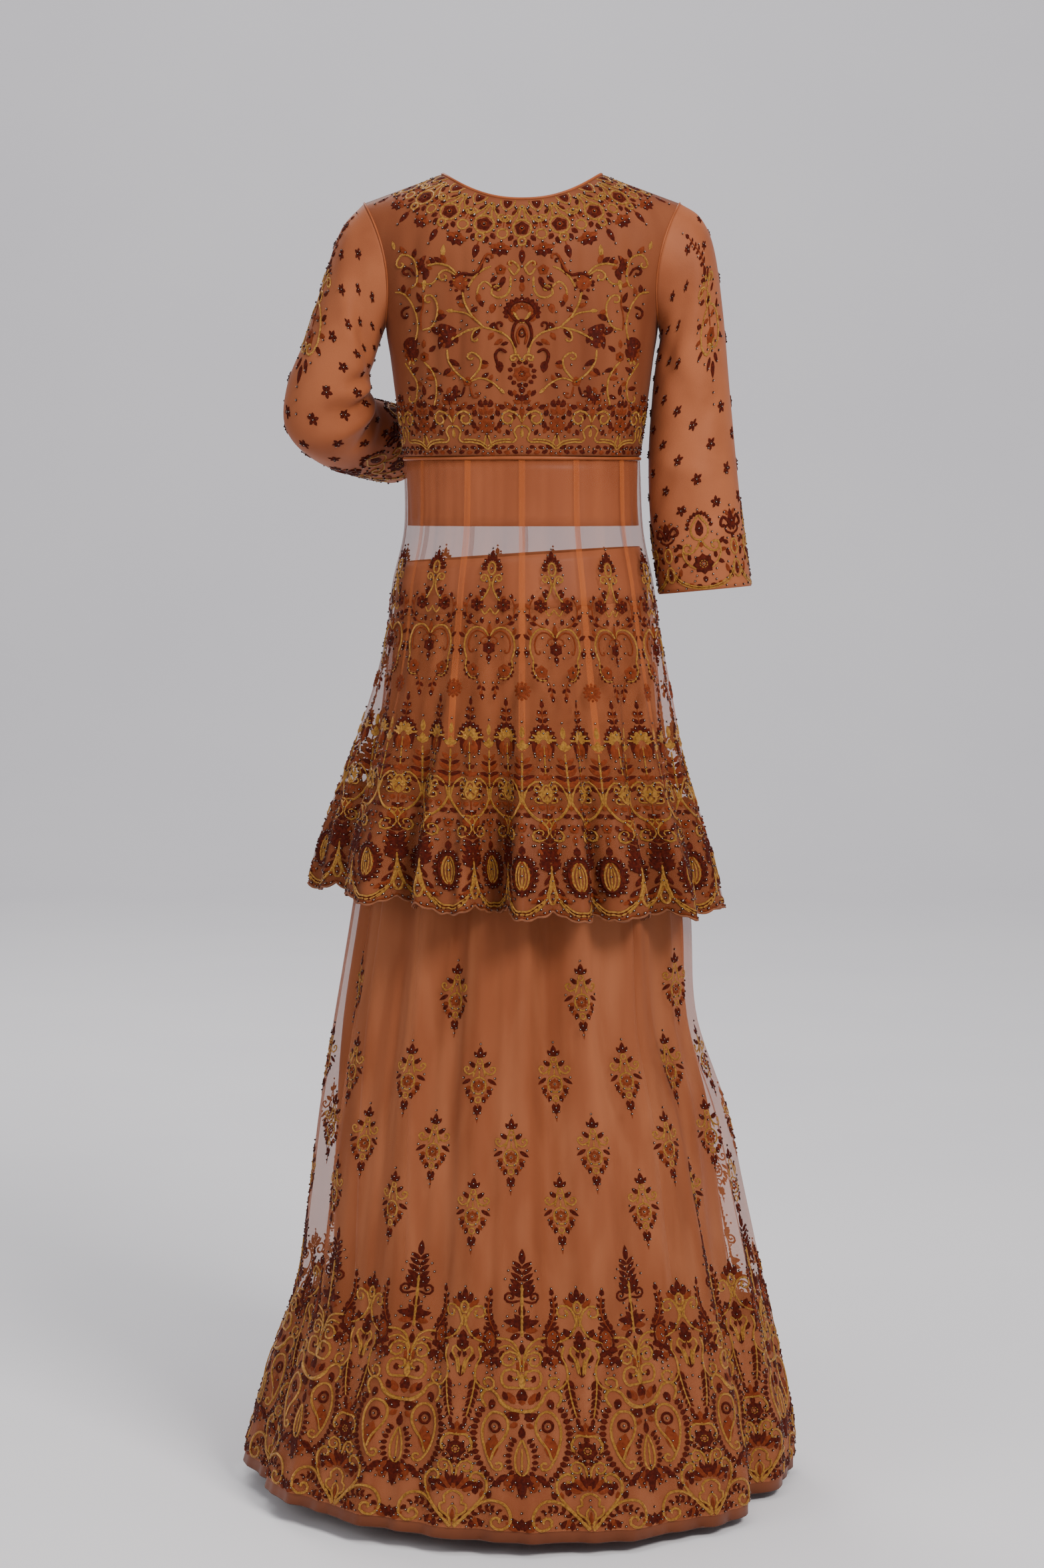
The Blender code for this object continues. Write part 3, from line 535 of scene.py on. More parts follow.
# Sleeves, as rings between an outer and an inner line, for the sleeve at +X
Ring = namedtuple("Ring", "share outer inner half_depth")
STRAIGHT_SLEEVE = [
    Ring(0.00, (0.182, 0.000, -0.033), (0.1590, 0.000, -0.1750), 0.0530),
    Ring(0.10, (0.206, 0.000, -0.049), (0.1605, 0.000, -0.1890), 0.0550),
    Ring(0.22, (0.222, 0.000, -0.083), (0.1560, 0.000, -0.2140), 0.0560),
    Ring(0.38, (0.233, 0.000, -0.155), (0.1515, 0.000, -0.2560), 0.0560),
    Ring(0.58, (0.243, 0.000, -0.262), (0.1475, 0.000, -0.3240), 0.0540),
    Ring(0.80, (0.255, 0.002, -0.380), (0.1500, 0.002, -0.4060), 0.0520),
    Ring(1.00, (0.268, 0.004, -0.475), (0.1600, 0.004, -0.4850), 0.0500),
]
BENT_SLEEVE = [
    Ring(0.00, (0.182, 0.000, -0.033), (0.1590, 0.000, -0.1750), 0.0530),
    Ring(0.12, (0.209, 0.002, -0.063), (0.1640, 0.000, -0.1900), 0.0530),
    Ring(0.26, (0.229, 0.005, -0.118), (0.1700, 0.000, -0.2080), 0.0510),
    Ring(0.40, (0.249, 0.012, -0.184), (0.1750, -0.006, -0.2260), 0.0490),
    Ring(0.52, (0.268, 0.020, -0.244), (0.1790, -0.022, -0.2400), 0.0470),
    Ring(0.63, (0.268, 0.010, -0.300), (0.1820, -0.048, -0.2500), 0.0450),
    Ring(0.75, (0.242, -0.038, -0.330), (0.1760, -0.082, -0.2560), 0.0440),
    Ring(0.88, (0.204, -0.096, -0.345), (0.1560, -0.122, -0.2600), 0.0430),
    Ring(1.00, (0.166, -0.146, -0.354), (0.1260, -0.164, -0.2660), 0.0430),
]

# Creases placed on a sleeve or a bodice: from one place to another, a ridge if negative
Crease = namedtuple("Crease", "first_1 second_1 first_2 second_2 width depth")
STRAIGHT_CREASES = [
    Crease(60, 0.10, 150, 0.36, 0.012, 0.0042),
    Crease(40, 0.14, 130, 0.46, 0.014, -0.0024),
    Crease(150, 0.20, 80, 0.60, 0.013, 0.0034),
    Crease(30, 0.50, 120, 0.66, 0.012, 0.0026),
    Crease(140, 0.62, 60, 0.74, 0.011, -0.0022),
    Crease(110, 0.66, 170, 0.78, 0.010, 0.0030),
    Crease(50, 0.80, 140, 0.84, 0.010, 0.0026),
    Crease(-60, 0.12, -150, 0.40, 0.013, 0.0036),
    Crease(-140, 0.30, -60, 0.62, 0.013, 0.0030),
    Crease(-40, 0.72, -130, 0.80, 0.011, 0.0024),
]
BENT_CREASES = [
    Crease(70, 0.08, 150, 0.34, 0.012, 0.0040),
    Crease(40, 0.16, 140, 0.44, 0.012, -0.0026),
    Crease(90, 0.20, 165, 0.44, 0.010, 0.0044),
    Crease(175, 0.44, 90, 0.49, 0.010, 0.0085),
    Crease(170, 0.49, 60, 0.525, 0.010, -0.0050),
    Crease(180, 0.55, 70, 0.575, 0.010, 0.0095),
    Crease(175, 0.60, 55, 0.625, 0.010, -0.0048),
    Crease(185, 0.65, 80, 0.69, 0.010, 0.0085),
    Crease(180, 0.71, 90, 0.76, 0.010, 0.0045),
    Crease(120, 0.50, 30, 0.60, 0.011, 0.0030),
    Crease(-175, 0.50, -90, 0.54, 0.009, 0.0060),
    Crease(-175, 0.60, -80, 0.62, 0.009, 0.0060),
    Crease(-60, 0.12, -150, 0.40, 0.012, 0.0034),
]
BODICE_CREASES = [
    Crease(-0.020, -0.085, -0.026, -0.300, 0.005, 0.0022),
    Crease(-0.008, -0.110, -0.011, -0.290, 0.004, -0.0012),
    Crease(0.031, -0.090, 0.024, -0.290, 0.005, 0.0024),
    Crease(0.012, -0.100, 0.010, -0.250, 0.004, 0.0014),
    Crease(-0.062, -0.070, -0.068, -0.280, 0.006, 0.0026),
    Crease(0.069, -0.070, 0.074, -0.300, 0.006, 0.0026),
    Crease(-0.083, -0.090, -0.082, -0.240, 0.005, -0.0014),
    Crease(0.088, -0.100, 0.086, -0.260, 0.005, -0.0014),
    Crease(-0.100, -0.120, -0.094, -0.310, 0.006, 0.0024),
    Crease(0.106, -0.110, 0.098, -0.310, 0.006, 0.0024),
    Crease(0.045, -0.110, 0.050, -0.240, 0.005, -0.0016),
    Crease(-0.044, -0.120, -0.040, -0.250, 0.005, -0.0016),
    Crease(0.125, -0.150, 0.118, -0.290, 0.007, 0.0024),
    Crease(-0.125, -0.150, -0.118, -0.290, 0.007, 0.0024),
    Crease(0.120, -0.070, 0.142, -0.150, 0.009, 0.0040),
    Crease(-0.120, -0.070, -0.142, -0.150, 0.009, 0.0040),
]

# The cut of each sheet in metres, with its flat area
Cut = namedtuple("Cut", "piece width length area held hangs_from carries")
CUTS = [
    Cut("bodice_back_cloth", 0.430, 0.330, 0.1270, "draped", ["bodice_front_cloth"],
        ["bodice_back_embroidery", "bodice_border", "collar", "neck_binding_cord"]),
    Cut("bodice_front_cloth", 0.430, 0.345, 0.1300, "draped", ["bodice_back_cloth"],
        ["bodice_front_embroidery"]),
    Cut("sleeve_left_cloth", 0.400, 0.470, 0.1330, "draped", ["bodice_back_cloth", "bodice_front_cloth"],
        ["sleeve_left_embroidery", "armhole_seam_left"]),
    Cut("sleeve_right_cloth", 0.410, 0.460, 0.1330, "draped", ["bodice_back_cloth", "bodice_front_cloth"],
        ["sleeve_right_embroidery", "armhole_seam_right"]),
    Cut("midriff_band", 0.760, 0.075, None, "hung", ["waist_piping_cord"], []),
    Cut("peplum_net", 2.190, 0.520, 0.5950, "hung", ["waist_piping_cord"],
        ["peplum_candelabra", "peplum_border_back", "peplum_border_front", "peplum_edge", "peplum_seams",
         "waist_piping_cord"]),
    Cut("peplum_facing", 2.190, 0.125, 0.2090, "hung", ["peplum_net"], []),
    Cut("waistband_cloth", 0.830, 0.061, None, "stretched", ["skirt_lining_cloth"], []),
    Cut("skirt_lining_cloth", 1.710, 0.980, 1.2560, "hung", ["waistband_cloth"], []),
    Cut("skirt_net", 2.080, 1.020, 1.4340, "gathered", ["waistband_cloth"],
        ["skirt_border_back", "skirt_border_right", "skirt_border_left", "skirt_sprigs"]),
    Cut("skirt_facing", 2.090, 0.196, 0.3880, "hung", ["skirt_net"], ["skirt_hem_edge"]),
]

# Items of a design, in millimetres, x to the right and y up; headings in degrees from x
Stem = namedtuple("Stem", "thread width places curl", defaults=(None,))
Loop = namedtuple("Loop", "thread width x y across tall")
Leaf = namedtuple("Leaf", "thread x y heading length width bend", defaults=(0,))
Leaves = namedtuple("Leaves", "rows")
Beads = namedtuple("Beads", "places")
Fan = namedtuple("Fan", "thread x y across tall first last count length width")
Halo = namedtuple("Halo", "x y across tall first last count")
Frond = namedtuple("Frond", "thread places count length width lean stem", defaults=(None,))
Bloom = namedtuple("Bloom", "thread x y across petals heart turn", defaults=(None, 90))
Pad = namedtuple("Pad", "thread places")
Design = namedtuple("Design", "whole half")

# Skirt border, column of the paisleys: y up from the net's lower edge
PAISLEYS = Design(
    whole=[
        Leaves([(MAROON, 0, 62, -90, 28, 9), (MAROON, 0, 98, 90, 13, 6), (RUST, 0, 133, 90, 9, 6),
                (MAROON, 0, 136, 90, 15, 9)]),
        Stem(GOLD, 2.4, [(0, 65), (0, 88)]),
        Pad(GOLD, [(0, 149), (3.5, 156), (0, 167), (-3.5, 156)]),
        Bloom(RUST, 0, 174, 13, 6),
        Leaves([(MAROON, 0, 186, 90, 12, 5), (MAROON, 0, 2, 90, 12, 6)]),
        Stem(GOLD, 3.6, [(0, 205), (0, 232), (0, 260)]),
        Frond(MAROON, [(0, 246), (0, 282)], 6, 17, 5.5, 50),
        Frond(MAROON, [(0, 210), (0, 226)], 3, 14, 6.0, 44),
        Beads([(0, 20), (0, 64), (0, 112), (0, 128), (0, 200), (0, 262), (0, 270), (0, 293), (0, 146)]),
    ],
    half=[
        Stem(GOLD, 2.8, [(0.4, 59), (5.0, 64), (6.6, 73), (5.2, 84), (0.4, 97)]),
        Fan(MAROON, 0, 77, 19, 40, -40, 55, 7, 7, 4),
        Halo(0, 77, 33, 56, -38, 50, 5),
        Stem(GOLD, 3.2, [(30, 74), (26, 86), (18, 97), (13.5, 107), (14, 117), (19, 123.5), (27, 125),
                         (34, 119), (38.5, 108), (38.5, 94), (34, 78), (28, 67)], (5.5, -330)),
        Leaf(RUST, 32, 76, 104, 27, 11),
        Loop(MAROON, 3.4, 26, 110, 10, 11),
        Beads([(26, 110), (31, 96), (29, 86), (18, 107), (24, 60)]),
        Fan(MAROON, 0, 96, 87, 100, -58, 34, 14, 8, 5),
        Halo(0, 96, 103, 116, -56, 30, 10),
        Leaves([(MAROON, 3, 62, -64, 22, 7), (RUST, 8, 60, -52, 15, 7), (MAROON, 13, 59, -30, 14, 6),
                (MAROON, 20, 54, -50, 10, 5)]),
        Bloom(RUST, 11, 47, 10, 5),
        Beads([(4, 38), (9, 43), (17, 44), (22, 48), (6, 52), (14, 54)]),
        Stem(GOLD, 5.0, [(0, 126.5), (8, 127.5), (16, 132), (22, 139)]),
        Stem(GOLD, 3.4, [(21, 138), (25, 145), (32, 148), (38, 144), (39.5, 137), (35, 129)]),
        Leaves([(MAROON, 27, 138, -70, 12, 6), (RUST, 7, 134, 62, 14, 6), (MAROON, 14, 137, 70, 11, 5),
                (MAROON, 2, 119, 18, 15, 8), (MAROON, 3, 122, 52, 10, 6), (RUST, 4, 114, -30, 9, 5)]),
        Beads([(10, 120), (16, 126), (28, 131), (41, 128), (43, 136), (40, 145), (33, 151), (24, 150)]),
        Stem(GOLD, 3.2, [(1.5, 151), (8, 151), (16, 152), (19.5, 160), (16.5, 168.5),
                         (9, 170)], (6.0, 250)),
        Leaf(MAROON, 10, 157, 75, 8, 5),
        Stem(GOLD, 3.0, [(1, 168), (2, 180)], (9.8, -480)),
        Beads([(6, 181), (12, 181), (5, 160), (14, 192)]),
        Stem(GOLD, 2.8, [(1, 180), (6, 195), (15, 202), (26, 202)]),
        Stem(GOLD, 2.4, [(4, 188), (13, 195), (22, 192)]),
        Leaves([(MAROON, 22, 192, -30, 13, 6), (MAROON, 17, 190, -60, 9, 4),
                (MAROON, 25, 183, -110, 12, 6), (RUST, 31, 181, -80, 12, 6),
                (MAROON, 37, 182, -55, 12, 5)]),
        Beads([(24, 172), (29, 169), (34, 172), (29, 176), (38, 176), (20, 178)]),
        Pad(RUST, [(31, 187), (36, 199), (31, 211), (26, 199)]),
        Loop(MAROON, 2.6, 31, 199, 13, 24),
        Fan(MAROON, 31, 199, 14, 25, 20, 340, 9, 5, 3.8),
        Beads([(31, 199), (31, 206), (31, 192), (40, 204), (40, 192), (22, 206)]),
        Frond(MAROON, [(26, 209), (31, 219), (33, 232), (31, 246)], 6, 8, 4.2, 40, (2.2, RUST)),
        Beads([(35, 222), (29, 227), (37, 233), (30, 239), (35, 245), (30, 254)]),
        Stem(MAROON, 3.0, [(2, 243), (9, 241)], (6.0, 400)),
        Beads([(12, 246), (11, 259), (16, 266), (13, 275), (8, 283), (4, 276), (6, 254), (5, 266)]),
        Leaves([(MAROON, 2, 218, 12, 16, 6), (RUST, 2, 213, -8, 14, 6), (MAROON, 2, 208, -36, 12, 5)]),
        Beads([(6, 232), (14, 226), (18, 216), (10, 216), (6, 206), (9, 238)]),
        Leaves([(MAROON, 2, 1, 62, 15, 6), (RUST, 4, 0, 40, 15, 6)]),
        Beads([(4, 10), (10, 13), (12, 6), (8, 5)]),
    ],
)

# Skirt border, column of the lotus between the paisleys
LOTUS = Design(
    whole=[
        Leaf(MAROON, 0, 241, 90, 14, 5),
        Loop(GOLD, 2.8, 0, 234, 7, 12),
        Leaf(MAROON, 0, 196, 90, 14, 7),
        Bloom(MAROON, 0, 194, 14, 6),
        Leaves([(MAROON, 0, 160, 90, 12, 5), (RUST, 0, 99, 90, 15, 6)]),
        Stem(GOLD, 2.6, [(0, 97), (0, 111)]),
        Bloom(MAROON, 0, 84, 21, 7, GOLD),
        Leaves([(MAROON, 0, 92, 90, 8, 5), (MAROON, 0, 46, 90, 17, 6), (RUST, 0, 42, 90, 8, 5)]),
        Beads([(0, 256), (0, 244), (0, 234), (0, 117), (0, 66), (0, 59), (0, 26), (0, 33), (0, 152)]),
    ],
    half=[
        Stem(GOLD, 3.0, [(1, 214), (3, 224), (6, 231)], (8.0, -420)),
        Stem(GOLD, 2.8, [(0.5, 226), (3, 214), (10, 202), (22, 196)]),
        Leaves([(MAROON, 3, 238, 70, 12, 5), (RUST, 5, 234, 45, 12, 5), (MAROON, 8, 200, 60, 13, 6),
                (RUST, 12, 199, 35, 13, 6), (MAROON, 18, 197, 20, 12, 5)]),
        Beads([(5, 249), (10, 243), (12, 225), (8, 208), (16, 206), (21, 203), (25, 197), (5, 202)]),
        Stem(GOLD, 2.8, [(3, 164), (5, 176), (10, 186), (7, 192), (2, 187), (0, 190)]),
        Stem(GOLD, 2.2, [(1, 162), (2, 172), (4, 180)]),
        Pad(MAROON, [(2, 180), (5, 184), (3, 188), (0.5, 186)]),
        Stem(GOLD, 2.8, [(15, 192), (18, 182), (14, 170), (14, 158), (19, 150)], (8.6, 420)),
        Leaves([(MAROON, 18, 182, 30, 12, 5), (RUST, 20, 176, 10, 11, 5), (MAROON, 26, 172, 60, 12, 6),
                (MAROON, 12, 184, 240, 10, 5)]),
        Beads([(23, 158), (28, 180), (30, 170), (22, 188), (31, 163), (12, 164), (8, 172), (25, 165)]),
        Frond(MAROON, [(14, 158), (13, 146), (11, 132), (8, 118)], 8, 9, 3.6, 38, (2.2, GOLD)),
        Beads([(21, 146), (6, 150), (20, 136), (5, 138), (17, 126), (5, 126), (13, 116), (8, 110)]),
        Leaves([(MAROON, 1, 104, 45, 10, 5), (RUST, 1, 100, 20, 9, 5)]),
        Stem(GOLD, 3.4, [(0, 99), (7, 100), (13, 95), (15, 87), (12, 81)]),
        Beads([(6, 107), (11, 104), (7, 92), (11, 86), (17, 93), (5, 73), (9, 78)]),
        Fan(MAROON, 0, 84, 22, 22, -80, -10, 4, 5, 4),
        Stem(GOLD, 2.8, [(1, 56), (3, 66)], (7.8, -450)),
        Beads([(9, 66), (16, 60), (3, 74), (17, 69)]),
        Leaves([(MAROON, 2, 44, 66, 17, 5), (RUST, 3, 42, 48, 17, 6), (MAROON, 6, 42, 34, 18, 5),
                (RUST, 8, 40, 18, 14, 5)]),
        Beads([(7, 60), (13, 56), (18, 51), (21, 44), (12, 47)]),
        Stem(GOLD, 3.4, [(1, 2), (12, 14), (24, 28), (31, 40), (31, 51), (25, 58)], (6.4, 300)),
        Leaves([(MAROON, 21, 36, 95, 15, 6), (MAROON, 26, 42, 100, 10, 5)]),
        Beads([(24, 50), (19, 44), (36, 46), (36, 54), (30, 62), (15, 36)]),
        Stem(GOLD, 3.0, [(1, 8), (6, 14), (12, 18), (12.5, 25), (8, 27), (9, 33), (5, 38), (0, 40)]),
        Stem(GOLD, 2.4, [(1, 3), (3.5, 12), (4, 20), (0, 25)]),
        Pad(RUST, [(0, 6), (2, 14), (0, 21)]),
        Stem(GOLD, 3.6, [(2, 1), (14, 15), (26, 27), (38, 32), (49, 29), (56, 19), (56, 8), (49, 1.5),
                         (42, 3)], (6.6, -300)),
        Frond(MAROON, [(7, 6), (18, 16), (30, 22), (41, 23), (49, 17)], 7, 7.5, 4, 42),
        Beads([(11, 8), (18, 11), (25, 16), (31, 18), (38, 18), (44, 20), (49, 12), (36, 27)]),
        Leaves([(MAROON, 29, 2, 120, 11, 5), (RUST, 24, 1, 105, 12, 5), (MAROON, 19, 0, 100, 10, 5),
                (MAROON, 33, 33, 70, 10, 5), (RUST, 28, 32, 95, 9, 5)]),
        Beads([(36, 41), (31, 38), (22, 4), (30, 8), (14, 2), (34, 4)]),
    ],
)

# Rows of sprigs on the skirt, and lines along the peplum's edge: how far down, how wide
SprigRow = namedtuple("SprigRow", "share first count")
SPRIG_ROWS = [
    SprigRow(0.439, 21, 8),
    SprigRow(0.529, 11, 15),
    SprigRow(0.606, -3, 15),
    SprigRow(0.671, 11, 15),
]
EdgeLine = namedtuple("EdgeLine", "down width thread")
EDGE_LINES = [
    EdgeLine(-0.8, 3.4, TAN),
    EdgeLine(-3.4, 1.6, RUST),
]

# Small flower at the seams of the peplum
ZINNIA = Design(
    whole=[Bloom(RUST, 0, 0, 17, 9, RUST), Fan(RUST, 0, 0, 12, 14, 0, 330, 12, 4, 3), Beads([(0, 0)])],
    half=[],
)

# Sprig of the skirt, about its own middle
SPRIG = Design(
    whole=[
        Leaf(MAROON, 0, 29, 90, 14, 5.5),
        Loop(GOLD, 2.0, 0, 27, 5, 6),
        Loop(GOLD, 2.4, 0, 0, 15, 18),
        Fan(RUST, 0, 0, 4, 4, 0, 315, 8, 4.5, 3),
        Loop(GOLD, 2.0, 0, -15.5, 6, 6.5),
        Stem(RUST, 1.4, [(0, -19), (0.5, -30), (0, -41)]),
        Stem(GOLD, 2.0, [(0, 9), (0, 16)]),
        Leaf(MAROON, 0, -24, -90, 10, 4),
        Beads([(0, 0), (0, 36), (0, 46), (0, -36), (0, 19), (0, -26)]),
    ],
    half=[
        Stem(GOLD, 2.2, [(3.2, 25), (4.2, 18), (6.4, 10)]),
        Stem(GOLD, 2.4, [(2.6, 22), (6, 15), (12, 12), (16, 15)], (3.4, 320)),
        Leaves([(MAROON, 4, 20, 38, 10, 4.5), (MAROON, 9, 7, -32, 12, 3.6), (RUST, 8, -2, -15, 7, 4),
                (MAROON, 9, -4, -50, 8, 4), (RUST, 7, -9, -60, 7, 4), (MAROON, 5, -12, -72, 8, 4),
                (MAROON, 2.6, -21, -96, 10, 4.2), (MAROON, 2, 31, 55, 8, 3.6)]),
        Beads([(4, 33), (10, 25), (17, 8), (14, -4), (11, -11), (6, -17), (3, -30), (5, 4), (4, -8)]),
    ],
)

# Peplum, upper part of each gore: y up from the height of its hanging drops
CANDELABRA = Design(
    whole=[
        Leaf(MAROON, 0, 158, 90, 10, 4.5),
        Fan(MAROON, 0, 148, 9, 15, -8, 188, 9, 7.5, 3.8),
        Loop(GOLD, 2.4, 0, 147, 8, 14),
        Stem(GOLD, 2.2, [(-10, 101), (-6, 95), (-2, 99), (0, 102), (2, 99), (6, 95), (10, 101)]),
        Leaves([(RUST, 0, 71, 90, 14, 4.5), (MAROON, 0, 66, 90, 10, 5)]),
        Bloom(MAROON, 0, 57, 15, 6),
        Leaf(MAROON, 0, 50, -90, 9, 5),
        Beads([(0, 46), (0, 40), (0, 65), (0, 147), (0, 170), (0, 137), (0, 86)]),
    ],
    half=[
        Stem(GOLD, 2.6, [(0, 69), (5, 77), (13, 80.5), (22, 77), (28, 67), (29, 55), (26, 45)]),
        Stem(RUST, 2.2, [(2, 69), (8, 75), (15, 76), (21, 71), (24, 62), (23, 54)], (3.0, -260)),
        Stem(GOLD, 2.2, [(26, 45), (27, 33), (21, 23), (12, 23)]),
        Bloom(RUST, 18, 32, 15, 5),
        Fan(MAROON, 18, 32, 15, 15, -120, 50, 7, 4.6, 3.4),
        Stem(RUST, 1.5, [(11, 22), (8, 14), (7, 4)]),
        Leaves([(MAROON, 8, 15, -50, 7, 3.2), (MAROON, 8, 14, -130, 7, 3.2), (RUST, 7, 9, -60, 6, 3),
                (MAROON, 7, 6, -90, 8, 3.6)]),
        Beads([(7, 1), (12, 18), (5, 18), (11, 27), (25, 28), (33, 49), (34, 58), (31, 41)]),
        Bloom(MAROON, 33, 53, 7, 5),
        Leaves([(MAROON, 29, 68, 40, 9, 4), (RUST, 27, 72, 68, 9, 4)]),
        Stem(RUST, 1.8, [(9, 80), (20, 85), (27, 94), (27, 106), (23, 114)]),
        Leaves([(MAROON, 20, 84, 20, 9, 4), (MAROON, 26, 92, 32, 8, 4), (RUST, 27, 102, 50, 8, 4),
                (MAROON, 24, 88, 110, 8, 4), (MAROON, 24, 112, 95, 7, 3.4)]),
        Beads([(30, 90), (33, 99), (28, 112), (20, 92), (14, 86), (8, 90), (27, 80), (15, 70)]),
        Bloom(MAROON, 15, 106, 17, 6),
        Fan(RUST, 15, 106, 6, 6, 0, 300, 6, 4, 3),
        Beads([(15, 106), (6, 104), (22, 116), (9, 114), (10, 62), (14, 54), (8, 48)]),
        Stem(RUST, 1.8, [(2, 70), (6, 69)], (4.2, -300)),
        Leaf(MAROON, 8, 84, 80, 8, 4),
        Stem(GOLD, 2.4, [(0.6, 132), (3, 122), (8, 113), (11, 110)]),
        Leaves([(MAROON, 8, 114, 66, 10, 4), (RUST, 11, 111, 36, 8, 4), (MAROON, 5, 120, 40, 7, 3.4)]),
        Stem(GOLD, 2.4, [(1, 126), (3, 136)], (4.8, -440)),
        Beads([(14, 126), (11, 121), (12, 141), (8, 155), (11, 149), (4, 163), (5, 132)]),
    ],
)

# Peplum, lower part: the carnation over each notch of the hem, y up from the edge
CARNATION = Design(
    whole=[
        Stem(GOLD, 2.8, [(0, 28), (0, 54)]),
        Frond(MAROON, [(0, 46), (0, 84)], 6, 18, 5.2, 40),
        Leaf(RUST, 0, 92, 90, 16, 6),
        Stem(RUST, 2.0, [(0, 98), (0, 124)]),
        Loop(GOLD, 2.6, 0, 136, 11, 19),
        Fan(GOLD, 0, 133, 3, 4, 20, 160, 5, 8, 3.4),
        Leaves([(GOLD, 0, 124, 90, 10, 5), (RUST, 0, 150, 90, 10, 4.5)]),
        Stem(GOLD, 2.0, [(0, 156), (0, 190)]),
        Fan(MAROON, 0, 197, 15, 19, -12, 192, 11, 8, 5),
        Fan(GOLD, 0, 192, 7, 8, 18, 162, 7, 13, 4.6),
        Frond(MAROON, [(0, 214), (0, 231)], 2, 9, 4, 46, (1.6, RUST)),
        Leaf(RUST, 0, 20, 90, 12, 4),
        Beads([(0, 240), (0, 203), (0, 166), (0, 136), (0, 112), (0, 96), (0, 15), (0, 36), (0, 178)]),
    ],
    half=[
        Stem(GOLD, 3.0, [(0.5, 44), (2, 32), (6, 20), (12, 11), (16, 7)]),
        Stem(GOLD, 2.4, [(0.5, 38), (4, 26), (3, 14), (0, 8)]),
        Leaves([(RUST, 5, 13, 72, 13, 4), (MAROON, 10, 12, 60, 12, 4), (RUST, 1, 94, 48, 13, 5),
                (MAROON, 1, 92, 20, 15, 5.5), (MAROON, 1, 108, 55, 8, 3.6)]),
        Stem(GOLD, 2.2, [(4, 126), (9, 127)], (3.4, 300)),
        Leaves([(GOLD, 6, 142, 40, 7, 3.4), (RUST, 2, 119, 30, 8, 4)]),
        Fan(MAROON, 0, 136, 17, 24, -30, 60, 4, 5, 3.6),
        Leaves([(RUST, 1, 152, 38, 9, 4), (MAROON, 0.5, 160, 50, 7, 3.4),
                (RUST, 3, 192, -38, 17, 5, -46), (MAROON, 6, 194, -22, 15, 4.6, -60),
                (RUST, 1, 188, -70, 13, 4.4, -14), (RUST, 1, 222, 46, 8, 3.4)]),
        Beads([(4, 226), (6, 219), (8, 206), (12, 199), (5, 210), (10, 181), (5, 174), (9, 131),
               (11, 141),
               (6, 149), (7, 106), (14, 99), (5, 64), (11, 70), (8, 80), (16, 62), (9, 54), (16, 80),
               (8, 26), (7, 18), (13, 18), (4, 4), (9, 5)]),
    ],
)

